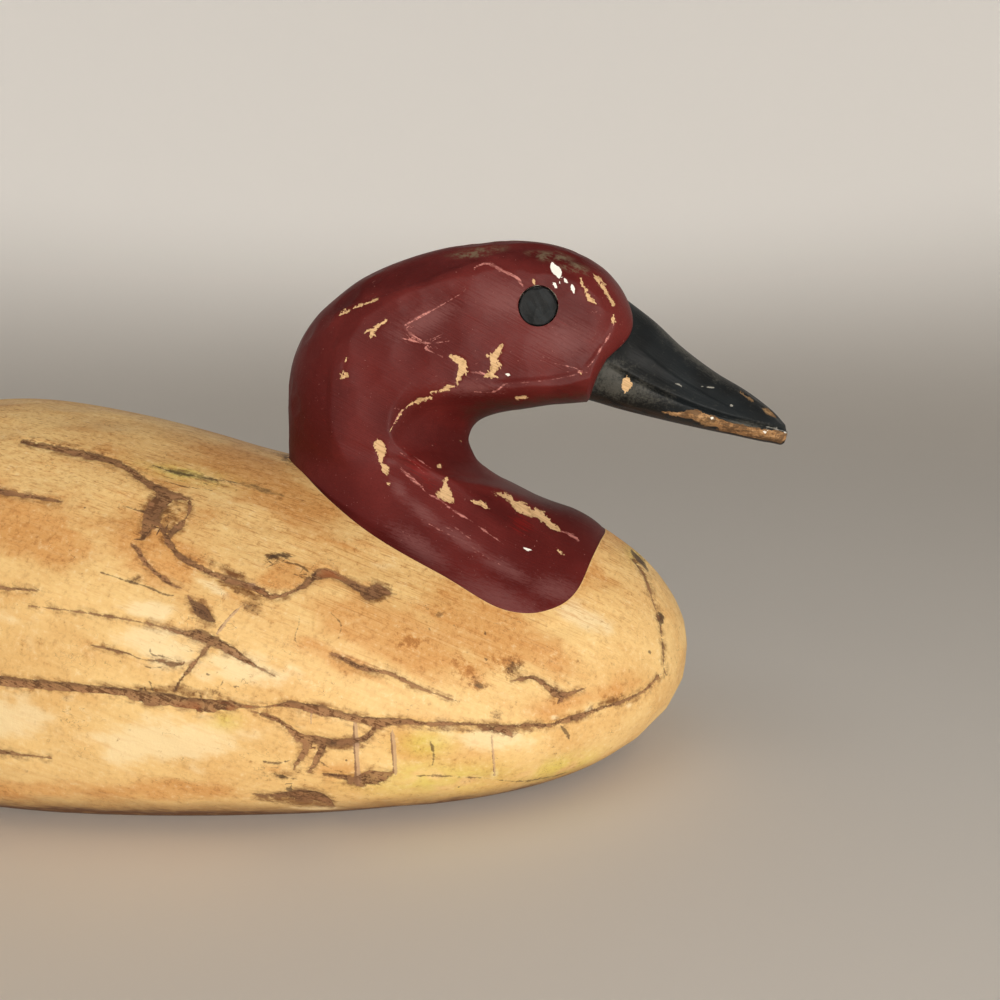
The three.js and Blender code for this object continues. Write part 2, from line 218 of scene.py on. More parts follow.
def share_at(angle):
    """Share of the way from the back of a head ring to its front, at an angle round it."""
    return (1 - np.cos(angle)) / 2


def width_share(t, widest, powers):
    behind = round_end((widest - t) / widest, powers[0])
    ahead = round_end((t - widest) / (1 - widest), powers[1])
    return np.where(t < widest, behind, ahead)


def foot_ring(angle, height_at, margin=0.0):
    side = np.where(angle > math.pi, 2 * math.pi - angle, angle)
    x = FOOT_BACK_X - margin + (FOOT_FRONT_X - FOOT_BACK_X + 2 * margin) * share_at(side)
    width = curve_through(FOOT_OUTLINE, np.degrees(side)) + margin * np.sin(side)
    y = np.sign(np.sin(angle)) * width
    return np.stack([x, y, height_at(x, y) + 0 * x], -1)


def flare_ring(angle, stage):
    back_x, front_x, half_width, widest, powers, lift = stage
    t = share_at(angle)
    x = back_x + (front_x - back_x) * t
    y = np.sign(np.sin(angle)) * half_width * width_share(t, widest, powers)
    return np.stack([x, y, body_top_at(x, y) + curve_through(lift, t)], -1)


def section_ring(angle, section):
    (back_x, back_z), (front_x, front_z), half_width, widest, powers, bow = section
    t = share_at(angle)
    out = BOW_REACH * np.sin(math.pi * np.clip(t / BOW_END, 0, 1)) ** 1.2
    dip = -BOW_DIP * np.sin(math.pi * np.clip((t - BOW_END) / (1 - BOW_END), 0, 1))
    lean = bow * np.where(t < BOW_END, out, dip)
    ahead = np.array([back_z - front_z, front_x - back_x])
    ahead = ahead / np.linalg.norm(ahead)
    x = back_x + (front_x - back_x) * t + ahead[0] * lean
    z = back_z + (front_z - back_z) * t + ahead[1] * lean
    y = np.sign(np.sin(angle)) * np.minimum(half_width * width_share(t, widest, powers), BOARD_HALF)
    return np.stack([x, y, z], -1)


def faces_between(count, sides):
    """The faces that join a number of rings, each with a number of points."""
    i, j = np.meshgrid(np.arange(count - 1), np.arange(sides), indexing="ij")
    a, b = i * sides + j, i * sides + (j + 1) % sides
    return np.stack([a, a + sides, b + sides, b], -1).reshape(-1, 4).tolist()


def closed_loft(rings, start, end):
    """Points and faces of a closed body through rings. An end is one point, or a row of points on the centre
    line, one between each mirrored pair of the ring's points."""
    count, sides = rings.shape[:2]
    half = sides // 2
    faces = faces_between(count, sides)
    points = [rings.reshape(-1, 3)]
    total = count * sides
    for ring, row, turned in ((0, start, 1), (count - 1, end, -1)):
        row = np.atleast_2d(row)
        first = total
        total += len(row)
        points.append(row)

        def corner(k):
            return ring * sides + k % sides

        def centre(k):
            if len(row) == 1:
                return first
            return corner(k) if k in (0, half) else first + k - 1

        for k in range(half):
            for side in (1, -1):
                quad = [corner(side * k), corner(side * (k + 1)), centre(k + 1), centre(k)]
                face = list(dict.fromkeys(quad))
                faces.append(face if side == turned else face[::-1])
    return np.concatenate(points), faces


def centre_row(ring, height_at):
    """Points on the centre line, one between each mirrored pair of a ring's points."""
    x = ring[1:len(ring) // 2, 0]
    return np.stack([x, 0 * x, height_at(x, 0 * x) + 0 * x], -1)


def new_object(name, points, faces):
    """A mesh object from points in millimetres."""
    mesh = bpy.data.meshes.new(name)
    mesh.from_pydata((points * MM).tolist(), [], faces)
    mesh.update()
    made = bpy.data.objects.new(name, mesh)
    bpy.context.scene.collection.objects.link(made)
    return made


def set_points(piece, points):
    piece.data.vertices.foreach_set("co", (points * MM).astype(np.float32).ravel())
    piece.data.update()


def normals_of(piece):
    flat = np.empty(len(piece.data.vertices) * 3, np.float32)
    piece.data.vertices.foreach_get("normal", flat)
    return flat.reshape(-1, 3).astype(float)


def store(piece, name, values):
    """Keeps one number for each point of the mesh, for the material to read."""
    layer = piece.data.attributes.new(name, "FLOAT", "POINT")
    layer.data.foreach_set("value", np.asarray(values, np.float32).ravel())


def cut(piece, cutter):
    """Takes the cutter out of the piece and deletes the cutter."""
    joiner = piece.modifiers.new("cut", "BOOLEAN")
    joiner.operation = "DIFFERENCE"
    joiner.solver = "MANIFOLD"
    joiner.object = cutter
    bpy.context.view_layer.objects.active = piece
    bpy.ops.object.modifier_apply(modifier=joiner.name)
    bpy.data.objects.remove(cutter)


def finish_piece(piece, node, material):
    """Gives a finished piece its material, shades it, ties it to the frame and hides the imported solid it
    stands for.
    """
    piece.data.materials.clear()
    piece.data.materials.append(material)
    piece.data.shade_smooth()
    piece.data.set_sharp_from_angle(angle=SHARP_ANGLE)
    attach(piece, "root")
    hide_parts(node)


# Strokes and spots on the photograph's frame

def in_frame(points):
    """Where points in millimetres fall on the photograph's frame, those of the far side mirrored to the near
    one, and a pixel's millimetres there."""
    back = VIEW_BACK - np.abs(points[:, 1])
    up = points[:, 2] - VIEW_HEIGHT
    depth = back * math.cos(VIEW_PITCH) - up * math.sin(VIEW_PITCH)
    drop = -(back * math.sin(VIEW_PITCH) + up * math.cos(VIEW_PITCH))
    spots = FRAME_PX / 2 + FOCAL_PX * np.stack([(points[:, 0] - VIEW_X) / depth, drop / depth], -1)
    return spots, depth / FOCAL_PX


def facing_of(points, normals):
    """How far each point's surface faces the photograph's camera, or its mirror image for the other side."""
    side = np.where(points[:, 1] > 0, -1.0, 1.0)
    sight = np.stack([points[:, 0] - VIEW_X, points[:, 1] * side + VIEW_BACK, points[:, 2] - VIEW_HEIGHT], -1)
    turned_normals = normals * np.stack([1 + 0 * side, side, 1 + 0 * side], -1)
    return -(turned_normals * sight).sum(1) / np.linalg.norm(sight, axis=1)


AWAY, NO_STROKE = 99.0, -1.0
STEPS_BETWEEN = 4


def smooth_stroke(points):
    """More points on a smooth curve through a stroke."""
    points = np.array(points, float)
    if len(points) < 3:
        return points
    gaps = len(points) - 1
    return curve_through(list(enumerate(points)), np.linspace(0, gaps, gaps * STEPS_BETWEEN + 1))


def stroke_fields(points, strokes, reach=14.0):
    """For each point, how far it lies from the middle of the nearest stroke, with a sign for its side, and
    the half width of that stroke there, in millimetres. Beyond a reach in pixels: AWAY and NO_STROKE."""
    spots, scale = in_frame(points)
    offset = np.full(len(spots), AWAY)
    half = np.full(len(spots), NO_STROKE)
    best = np.full(len(spots), -1e9)
    for widths, drawn in strokes:
        line = smooth_stroke(drawn)
        low, high = line.min(0) - reach, line.max(0) + reach
        near = np.flatnonzero(((spots > low) & (spots < high)).all(1))
        if not len(near):
            continue
        here = spots[near]
        lengths = np.linalg.norm(np.diff(line, axis=0), axis=1)
        run = np.concatenate([[0], np.cumsum(lengths)])
        knots = np.linspace(0, 1, len(widths))
        if len(widths) == len(drawn):
            knots = run[::(len(line) - 1) // (len(drawn) - 1)] / run[-1]
        far = np.full(len(near), 1e9)
        side = np.zeros(len(near))
        wide = np.zeros(len(near))
        for k in range(len(line) - 1):
            a, d = line[k], line[k + 1] - line[k]
            t = ((here - a) @ d) / max(d @ d, 1e-9)
            held = np.clip(t, 0, 1)
            gap = here - a - held[:, None] * d
            away = np.linalg.norm(gap, axis=1)
            cross = d[0] * (here[:, 1] - a[1]) - d[1] * (here[:, 0] - a[0])
            closer = away < far
            far = np.where(closer, away, far)
            side = np.where(closer, np.sign(cross), side)
            past = (k == 0) * np.clip(-t, 0, None) + (k == len(line) - 2) * np.clip(t - 1, 0, None)
            along = (run[k] + held * lengths[k]) / run[-1]
            taper = np.interp(along, knots, widths) / 2 - past * lengths[k]
            wide = np.where(closer, taper, wide)
        inside = wide - far
        better = inside > best[near]
        take = near[better]
        best[take] = inside[better]
        offset[take] = (far * side)[better] * scale[take]
        half[take] = wide[better] * scale[take]
    return offset, half


def soft_spots(spots, marks):
    """Strength from 0 to 1 of soft round or long marks."""
    strength = np.zeros(len(spots))
    for x, y, long, short, tilt in marks:
        turn = math.radians(tilt)
        gap = spots - (x, y)
        along = gap[:, 0] * math.cos(turn) + gap[:, 1] * math.sin(turn)
        across = gap[:, 1] * math.cos(turn) - gap[:, 0] * math.sin(turn)
        strength = np.maximum(strength, np.exp(-((along / long) ** 2 + (across / short) ** 2)))
    return strength


# Wear on the near side, with some painted shade and painted highlights, in pixels of the photograph's frame.
# A stroke has its widths and its points; a soft spot has x, y, long radius, short radius and tilt in degrees

BODY_SPLITS = {
    "upper split": ((5, 7, 7, 6, 7, 9, 6, 3), [(20, 440), (70, 450), (105, 458), (125, 466), (147, 481),
        (162, 490), (178, 496), (192, 498)]),
    "wing split": ((7, 6, 6, 6, 7, 7, 7, 8, 7, 4, 3, 5, 9), [(166, 539), (181, 557), (198, 566), (213, 573),
        (228, 579), (240, 583), (250, 586), (259, 590), (268, 595), (277, 596), (290, 592), (304, 585),
        (312, 577)]),
    "flank split": ((2, 2, 2, 2, 2, 3, 9, 12, 11, 10, 10, 6, 4, 2, 1), [(30, 606), (80, 612), (129, 620),
        (150, 624), (168, 629), (180, 633), (190, 634), (200, 635), (210, 640), (219, 644), (233, 652),
        (245, 660), (255, 666), (265, 671), (279, 679)]),
    "ridge split": ((9, 11, 12, 12, 10, 13, 13, 12, 15, 14, 10, 4, 3, 4, 8, 9, 10, 9, 7, 12, 6, 5, 4, 3, 3, 4,
        4, 6, 5, 3, 3, 3), [
        (-230, 640), (-120, 664), (-20, 680), (60, 688), (125, 694), (150, 699), (170, 700), (185, 704),
        (200, 706), (213, 707), (230, 706), (242, 707), (262, 708), (275, 707), (290, 705), (305, 708),
        (320, 711), (338, 716), (357, 720), (378, 723), (404, 722), (429, 725), (450, 724), (472, 725),
        (506, 727), (523, 726), (549, 726), (566, 721), (597, 711), (621, 703), (644, 693), (661, 675)]),
    "middle split": ((2, 5, 6, 4, 3, 4, 2, 1), [(331, 653), (345, 659), (358, 666), (375, 670), (391, 674),
        (408, 682), (427, 691), (462, 702)]),
    "breast split": ((2, 4, 4, 9, 4, 2), [(512, 681), (530, 677), (539, 680), (550, 688), (560, 695),
        (572, 693), (586, 688)]),
    "second toe": ((9, 8, 6, 3), [(323, 747), (319, 755), (315, 764), (308, 773)]),
    "low split": ((1, 3, 6, 12, 12, 9, 2), [(250, 795), (270, 797), (285, 796), (300, 797), (315, 798),
        (325, 801), (334, 806)]),
}
BODY_BRANCHES = {
    "wedge": ((16, 17, 15, 13, 10, 6), [(168, 494), (158, 503), (151, 512), (148, 521), (146, 530),
        (141, 539)]),
    "wedge island": ((6, 3, 2, 8, 6, 5), [(189, 500), (190, 508), (186, 517), (179, 525), (172, 531),
        (168, 537)]),
    "wedge middle": ((4, 3, 5, 6), [(157, 514), (160, 524), (164, 532), (168, 540)]),
    "lower wing split": ((4, 6, 5, 4, 6, 4, 1), [(131, 544), (137, 549), (142, 558), (152, 569), (163, 578),
        (171, 584), (181, 588)]),
    "cross split": ((4, 4, 3, 4, 6, 4, 4, 4), [(212, 642), (205, 650), (199, 657), (194, 663), (190, 668),
        (184, 675), (178, 683), (174, 692)]),
    "neck split": ((9, 12, 9, 7, 7, 8, 14, 15, 9, 2), [(313, 577), (320, 573), (330, 572), (341, 577),
        (352, 583), (361, 588), (369, 592), (378, 590), (385, 590), (392, 592)]),
    "low branch": ((3, 5, 6, 9, 9, 6, 6, 7, 4), [(252, 713), (272, 719), (289, 729), (300, 739), (318, 742),
        (336, 744), (355, 742), (368, 737), (378, 723)]),
    "first toe": ((7, 6, 5, 3), [(307, 746), (304, 753), (299, 761), (293, 769)]),
    "breast turn": ((1, 1, 1, 1.6, 2, 3, 3.5), [(667, 676), (665, 668), (664, 650), (662, 629), (659, 613),
        (652, 594), (645, 574), (634, 558)]),
    "left fine split": ((2, 3, 2, 3, 3, 2, 5, 5, 3), [(90, 645), (125, 653), (137, 658), (144, 660),
        (153, 661), (161, 661), (167, 664), (175, 664), (184, 665)]),
    "low patch": ((2, 5, 6, 7, 14, 16, 11, 2), [(322, 775), (334, 777), (345, 779), (354, 782), (364, 781),
        (373, 779), (382, 778), (394, 774)]),
    "tail split": ((2, 6, 8, 5, 2), [(-250, 520), (-170, 545), (-90, 560), (-20, 585), (40, 590)]),
    "old split": ((2, 5, 6, 3), [(-140, 440), (-70, 470), (-10, 488), (60, 500)]),
    "tail cross": ((2, 4, 3), [(-60, 560), (-95, 610), (-130, 660)]),
    "low tail split": ((2, 5, 6, 2), [(-200, 720), (-120, 742), (-40, 748), (50, 760)]),
    "lower spur": ((4, 7, 9, 7, 3), [(484, 729), (494, 730), (503, 731), (508, 734), (512, 737)]),
    "breast fork": ((3, 6, 2), [(556, 693), (562, 698), (558, 704)]),
    "drop mark": ((1, 3, 8, 14, 12, 7, 2), [(187, 594), (190, 600), (195, 605), (200, 610), (205, 614),
        (209, 618), (214, 621)]),
}
BODY_MARKS = {
    "joint crack": ((1, 3, 4, 3, 1), [(262, 446), (275, 450), (284, 453), (292, 459), (299, 467)]),
    "oval top": ((1, 1.5, 2, 3), [(262, 570), (278, 562), (296, 563), (309, 571)]),
    "island crack": ((1, 1, 1), [(284, 576), (296, 574), (304, 578)]),
    "smudge": ((2, 5, 6, 3), [(267, 558), (276, 555), (285, 554), (293, 556)]),
    "thin left": ((1.5, 2, 2, 4, 1.5), [(100, 572), (125, 580), (146, 586), (164, 594), (173, 595)]),
    "left wing line": ((2, 3, 4), [(125, 505), (138, 509), (150, 511)]),
    "grain mark one": ((1, 3, 2, 1), [(150, 463), (170, 470), (196, 476), (236, 482)]),
    "grain mark two": ((1, 2, 1), [(160, 478), (186, 486), (214, 490)]),
    "thin drop": ((1, 1.2, 1, 1), [(299, 613), (299, 624), (295, 638), (301, 652)]),
    "thin fork": ((1, 1.2, 1), [(330, 612), (341, 624), (338, 640)]),
    "hook": ((3, 2, 1.5, 1.5, 1), [(150, 650), (152, 655), (161, 656), (170, 659), (179, 661)]),
    "short dash": ((2, 2.5, 2), [(145, 667), (152, 668), (162, 667)]),
    "speck one": ((2, 3), [(206, 674), (209, 675)]),
    "speck two": ((3, 4, 2), [(223, 680), (222, 683), (220, 685)]),
    "speck three": ((2, 3), [(233, 687), (237, 687)]),
    "speck four": ((2, 2), [(197, 669), (199, 670)]),
    "hair one": ((2, 3, 3), [(149, 681), (151, 686), (152, 691)]),
    "hair two": ((3, 2), [(141, 688), (139, 693)]),
    "hair three": ((2, 2), [(199, 692), (201, 698)]),
    "toe scratch": ((1, 3, 2), [(268, 773), (282, 777), (298, 780)]),
    "toe scratch two": ((1, 3, 1), [(262, 762), (276, 764), (292, 760)]),
    "toe hair": ((1, 2, 1), [(318, 761), (332, 770), (342, 772)]),
    "knot": ((5, 6), [(286, 790), (291, 790)]),
    "pin one": ((3, 3), [(429, 628), (431, 629)]),
    "pin two": ((2.5, 2.5), [(454, 625), (455, 626)]),
    "pin three": ((3, 3), [(485, 658), (487, 660)]),
    "pin four": ((2.5, 2), [(485, 632), (486, 634)]),
    "pin five": ((3, 3), [(650, 651), (651, 653)]),
    "shoulder mark": ((3, 4, 4, 1), [(561, 726), (565, 731), (568, 735), (570, 741)]),
    "front mark": ((4, 6, 5, 3), [(632, 549), (638, 555), (644, 562), (650, 570)]),
    "front spot": ((4, 7, 5), [(660, 612), (662, 618), (662, 624)]),
    "under split edge": ((1, 2.5, 2, 1, 1.5, 1.5, 1), [(417, 777), (440, 777), (456, 777), (486, 780),
        (519, 782), (543, 779), (570, 773)]),
    "under drip": ((1, 3, 3, 1), [(430, 741), (433, 750), (434, 760), (432, 768)]),
}
BODY_DRIPS = {
    "long drip": ((4, 7, 5, 8), [(355, 722), (356, 745), (357, 765), (358, 784)]),
    "short drip": ((4, 6, 5, 5), [(392, 731), (394, 750), (395, 774)]),
    "faint drip": ((1.5, 2), [(311, 709), (311, 724)]),
    "front drip": ((1.5, 3, 2), [(492, 735), (494, 760), (495, 777)]),
    "cross pale": ((1, 3, 3, 4, 2), [(242, 605), (235, 612), (227, 620), (221, 628), (216, 634)]),
    "wing glint": ((2, 5, 2), [(247, 583), (254, 585), (256, 588)]),
}
# The two long, thin pale spots at 312, 809 are a painted highlight on the lower edge; the other pale spots
# are pale paint.
BODY_SPOTS = {
    "pale": [(218, 590, 26, 5, 30), (250, 670, 60, 20, 12), (165, 645, 50, 20, 5), (170, 740, 90, 26, 0),
        (575, 612, 40, 12, 22), (480, 738, 70, 14, 4), (630, 706, 5, 3, -20), (590, 711, 5, 3, 0),
        (554, 718, 6, 3, 0), (495, 774, 5, 7, 0), (312, 809, 34, 3, 2), (312, 809, 30, 2, 2),
        (150, 610, 40, 10, 5), (-60, 720, 120, 24, 0), (-120, 600, 120, 26, 8)],
    "gold": [(464, 669, 13, 10, 20), (478, 684, 9, 7, 0), (508, 664, 16, 12, 0), (412, 640, 14, 10, 10)],
    "orange": [(510, 640, 60, 30, 20), (340, 660, 60, 14, 25), (395, 640, 110, 34, 22),
        (280, 500, 60, 18, 28), (150, 560, 60, 30, 20), (480, 635, 70, 26, 15), (250, 470, 60, 18, 25),
        (560, 560, 40, 30, 0), (340, 770, 60, 12, 0), (100, 792, 180, 12, 0), (283, 577, 22, 14, 10),
        (410, 752, 22, 16, 0), (404, 748, 14, 18, 0), (0, 520, 120, 40, 15), (580, 700, 60, 14, -15)],
    "rust": [(218, 709, 34, 6, 3), (262, 709, 30, 5, 4), (330, 574, 14, 5, 10), (255, 592, 16, 4, 15),
        (476, 676, 12, 9, 0)],
    "green": [(440, 780, 70, 14, -4), (190, 474, 44, 7, 12), (225, 722, 14, 8, 0), (560, 768, 40, 10, -15),
        (640, 552, 14, 10, 0), (425, 745, 26, 14, 0), (424, 778, 40, 16, 0)],
    "soot": [(186, 473, 42, 4, 13), (262, 489, 30, 3, 16), (279, 556, 15, 4, 0), (384, 590, 12, 7, 15),
        (290, 459, 11, 4, 35), (641, 557, 12, 5, 45), (661, 617, 4, 6, 0), (440, 614, 4, 3, 0),
        (514, 668, 11, 6, 0), (478, 684, 9, 4, 20), (160, 512, 7, 16, 20)],
    "stain": [(496, 715, 7, 5, 0), (476, 680, 6, 5, 0), (612, 700, 14, 5, -15), (470, 729, 50, 4, 0),
        (520, 729, 14, 5, 0), (228, 570, 34, 5, 27), (245, 592, 22, 6, 25), (255, 603, 13, 11, 40),
        (136, 579, 8, 6, 0), (180, 690, 50, 5, 5), (380, 588, 14, 8, 20), (300, 800, 40, 7, 0),
        (170, 520, 20, 8, -60), (345, 745, 30, 6, 0), (512, 668, 11, 9, 0), (375, 594, 16, 9, 10),
        (278, 556, 16, 5, 0), (641, 556, 12, 6, 40), (661, 618, 4, 6, 0), (440, 614, 5, 3, 0),
        (290, 460, 13, 5, 35), (253, 609, 14, 10, 30), (205, 610, 11, 8, 50), (280, 452, 22, 4, 20),
        (285, 775, 22, 6, 0), (152, 505, 12, 12, 0), (-80, 470, 60, 10, 15)],
}

# How far the hidden side's spots lie from the mirror of these, so that the breast doesn't show both alike
HIDDEN_SIDE_MOVED = (52, 8)

HEAD_CHIPS = {
    "crown line": ((2, 3.5, 2, 2.5, 1.5), [(338, 316), (347, 311), (358, 306), (368, 302), (377, 298)]),
    "nape chip": ((1, 4, 5, 3, 4, 1), [(364, 333), (369, 330), (374, 330), (380, 324), (384, 322),
        (387, 319)]),
    "nape drop": ((3, 2), [(371, 331), (371, 338)]),
    "nape scratch": ((3, 3, 1), [(346, 359), (343, 367), (344, 372)]),
    "nape dot": ((2, 3), [(342, 378), (347, 375)]),
    "large chip": ((2, 8, 9, 9, 6, 5), [(449, 356), (455, 358), (461, 361), (463, 368), (459, 375),
        (457, 384)]),
    "large chip toe": ((7, 1), [(463, 369), (470, 373)]),
    "chip tail": ((3, 5, 4, 2), [(458, 386), (448, 388), (440, 391), (431, 392)]),
    "hollow chip": ((4, 3), [(431, 398), (423, 400)]),
    "hollow line": ((3, 2, 2, 2, 3), [(422, 399), (408, 406), (400, 415), (394, 424), (390, 432)]),
    "second chip": ((1, 8, 7, 7, 3), [(502, 344), (498, 351), (495, 359), (494, 368), (491, 377)]),
    "second chip arm": ((2, 6, 6, 1), [(487, 354), (493, 359), (499, 363), (502, 366)]),
    "second chip toe": ((1, 4, 1), [(485, 376), (491, 375), (498, 378)]),
    "brow chip": ((2, 4, 3, 5, 4, 1), [(580, 272), (582, 281), (584, 288), (587, 294), (591, 300),
        (597, 304)]),
    "front chip": ((2, 5, 3, 4, 3, 2), [(593, 273), (598, 279), (603, 287), (608, 293), (613, 301),
        (614, 306)]),
    "front chip arm": ((4, 1), [(598, 280), (606, 284)]),
    "hollow patch": ((9, 11, 9, 3), [(378, 442), (380, 449), (382, 456), (381, 462)]),
    "hollow drop": ((5, 9, 2), [(382, 464), (385, 469), (387, 474)]),
    "hollow dot": ((3, 3), [(386, 482), (389, 485)]),
    "throat chip": ((4, 9, 12, 8), [(446, 478), (445, 486), (447, 494), (450, 501)]),
    "throat toe": ((3, 5, 4), [(437, 494), (443, 497), (454, 498)]),
    "throat dot": ((5, 5), [(438, 466), (441, 468)]),
    "throat fleck": ((2, 2), [(459, 441), (461, 444)]),
    "neck chip": ((2, 5, 3, 4, 1), [(471, 500), (477, 503), (482, 503), (486, 507), (491, 510)]),
    "long chip": ((4, 4, 4, 8, 8, 7, 8, 7, 2), [(495, 494), (504, 498), (511, 502), (519, 508), (527, 512),
        (535, 514), (544, 519), (552, 526), (560, 531)]),
    "eye triangle": ((1, 4, 2), [(533, 278), (534, 281), (535, 284)]),
    "brow dot": ((2, 4, 2), [(614, 315), (614, 319), (614, 323)]),
    "front foot chip": ((1, 3, 2), [(557, 550), (562, 554), (568, 556)]),
    "jaw chip": ((2, 4, 2), [(516, 398), (522, 398), (528, 396)]),
    "bill chip": ((10, 11, 10), [(627, 379), (627, 385), (626, 390)]),
    "gape chip": ((3, 3), [(579, 371), (581, 373)]),
}
HEAD_WHITES = {
    "first white": ((3, 8, 8, 4), [(552, 263), (555, 268), (558, 273), (559, 277)]),
    "second white": ((4, 3), [(565, 279), (567, 282)]),
    "third white": ((2, 4, 2), [(572, 285), (573, 289), (574, 293)]),
    "white toe": ((2, 3), [(554, 283), (556, 287)]),
    "cheek dot": ((2.5, 2.5), [(506, 374), (509, 375)]),
    "bill nick one": ((1, 1.6, 1), [(676, 383), (680, 384), (683, 386)]),
    "bill nick two": ((1, 1.5, 1), [(702, 385), (708, 386), (715, 387)]),
    "bill nick three": ((1, 1.2), [(731, 404), (734, 405)]),
    "strip glint": ((2, 3), [(711, 418), (713, 419)]),
    "strip glint two": ((2, 4), [(763, 432), (766, 433)]),
    "tip line": ((1, 2, 2, 1), [(768, 427), (776, 428), (783, 430), (787, 433)]),
    "plug glint": ((1, 2.5, 1), [(523, 547), (527, 549), (531, 550)]),
}
HEAD_SCUFFS = {
    "nape scuff": ((3, 6, 5, 4, 3, 2), [(405, 325), (416, 319), (427, 313), (440, 306), (452, 299),
        (462, 293)]),
    "nape scuff turn": ((3, 4, 3), [(405, 328), (412, 335), (421, 340)]),
    "nape scuff foot": ((2, 3, 3), [(424, 340), (434, 338), (444, 333)]),
    "chip lead": ((4, 3, 2), [(425, 348), (432, 352), (443, 357)]),
    "brow scuff": ((2, 6, 6, 4, 3), [(474, 268), (487, 263), (500, 269), (516, 277), (524, 288)]),
    "cheek line": ((2, 2, 3, 2), [(538, 360), (557, 364), (575, 368), (582, 372)]),
    "cheek front line": ((2, 3, 2, 2, 1.5), [(582, 371), (592, 363), (600, 350), (609, 336), (615, 322)]),
    "cheek front dot": ((5, 6), [(579, 371), (582, 372)]),
    "chip bridge": ((3, 3, 4), [(470, 372), (480, 373), (488, 375)]),
    "cheek oval": ((2, 2, 3, 3, 2), [(495, 378), (504, 383), (499, 389), (489, 393), (474, 392)]),
    "jaw line": ((1.5, 2, 2), [(505, 384), (549, 380), (592, 371)]),
    "bill edge line": ((2, 3, 2), [(624, 341), (617, 352), (612, 357)]),
    "hollow scuff": ((2, 4, 5, 3), [(398, 467), (408, 474), (416, 482), (424, 489)]),
    "hollow hair one": ((1.5, 2, 1.5), [(396, 450), (412, 462), (430, 478)]),
    "hollow hair two": ((1.5, 2, 1.5), [(404, 446), (422, 462), (440, 474)]),
    "hollow hair three": ((1.5, 2, 1.5), [(389, 455), (400, 466), (414, 480)]),
    "flare hair": ((1.5, 2.5, 2.5, 1.5), [(416, 516), (440, 530), (462, 540), (486, 556)]),
    "hollow glints": ((2.5, 3, 3, 2.5, 2), [(425, 492), (440, 500), (456, 512), (470, 520), (492, 536),
        (506, 546)]),
    # The neck's edge line is a painted highlight.
    "neck edge highlight": ((2, 3.5, 3, 2.5, 2, 2), [(494, 474), (508, 481), (520, 487), (545, 497), (575, 511),
        (600, 524)]),
    "crown nicks": ((1.5, 2, 1, 2, 1), [(334, 296), (348, 284), (364, 274), (381, 266), (397, 260)]),
    "sheen hair one": ((1.5, 2, 2, 1.5), [(420, 508), (446, 521), (463, 533), (484, 548)]),
    "sheen hair two": ((1.5, 2, 1.5), [(470, 549), (488, 558), (506, 567)]),
    # The plug's rim is a painted highlight.
    "plug rim highlight": ((1.5, 2, 1), [(536, 537), (537, 544), (530, 549)]),
    "throat speckle": ((1.5, 2.5, 2, 1), [(396, 470), (404, 472), (414, 483), (424, 487)]),
    "long chip tail": ((3, 4, 3), [(560, 531), (572, 536), (579, 541)]),
    "eye scuff": ((3, 4, 3), [(392, 428), (397, 418), (405, 408)]),
    "mouth corner": ((2, 4, 2), [(402, 338), (425, 343), (450, 341)]),
}
HEAD_CREASES = {
    "crown crease": ((0, 6, 6, 5, 5, 6, 5, 0), [(530, 281), (505, 270), (480, 262), (461, 267), (423, 281),
        (390, 294), (351, 306), (323, 319)]),
    "cheek front": ((0, 5, 6, 5, 0), [(619, 300), (615, 313), (613, 330), (594, 358), (582, 370)]),
    "jaw crease": ((0, 5, 5, 0), [(590, 369), (549, 379), (505, 382), (480, 386)]),
    "nape facet": ((0, 4, 5, 4, 0), [(352, 306), (338, 340), (331, 380), (330, 420), (334, 452)]),
    "cheek facet": ((0, 3, 4, 3, 0), [(470, 290), (440, 306), (405, 325), (416, 341), (446, 345)]),
}
HOLLOW_EDGE = ((0, 14, 16, 16, 16, 14, 4), [(520, 388), (478, 388), (432, 397), (402, 415), (387, 441),
    (385, 466), (398, 482)])
FLARE_CREASE = ((0, 10, 14, 14, 12, 0), [(384, 458), (405, 487), (433, 513), (479, 547), (520, 570),
    (566, 592)])
BILL_CREASE = ((0, 4, 5, 5, 3, 0), [(636, 345), (650, 357), (677, 377), (703, 392), (735, 410), (755, 421)])
THROAT_FULLNESS = ((0, 5, 12, 14, 12, 8, 8, 3), [(462, 410), (464, 428), (472, 452), (484, 470), (505, 487),
    (535, 499), (570, 513), (600, 528)])
HEAD_SPOTS = {
    # The deep spots are painted shade on the crown, the back of the neck and the throat.
    "deep": [(318, 420, 36, 80, 10), (420, 272, 80, 12, -15), (450, 445, 40, 26, 30), (540, 258, 60, 8, 8),
        (560, 505, 60, 20, 30), (350, 298, 44, 8, -38), (500, 512, 40, 12, 30)],
    "dirt": [(478, 251, 26, 4, -8), (550, 256, 20, 5, 8), (574, 267, 14, 5, 20)],
    "red": [(522, 524, 13, 9, 25), (420, 470, 26, 8, 45)],
    # The dust spots are powdery bloom, and along the flare and on the cheek a painted sheen.
    "dust": [(500, 600, 60, 16, 25), (420, 548, 40, 12, 36), (400, 490, 16, 8, 55), (425, 514, 28, 8, 40),
        (462, 540, 34, 8, 33), (505, 568, 34, 9, 28), (505, 300, 40, 22, 10), (560, 340, 40, 22, 0),
        (470, 388, 34, 9, 0), (425, 320, 40, 14, -25), (556, 590, 30, 14, 10)],
    "ash": [(622, 388, 44, 13, 14), (608, 374, 22, 16, 0), (690, 350, 50, 8, 40), (740, 425, 30, 6, 5)],
}
BILL_BARE = {
    "tip chip": ((1, 4, 6, 3), [(761, 406), (767, 410), (772, 413), (777, 416)]),
    "bill top chip": ((1, 2, 1), [(740, 392), (747, 396), (754, 401)]),
    "lower bill": ((1, 4, 5, 10, 13, 11, 11, 12, 14, 15, 11), [(662, 412), (672, 414), (684, 415), (694, 415),
        (704, 419), (716, 423), (730, 428), (744, 432), (758, 435), (772, 437), (785, 437)]),
}

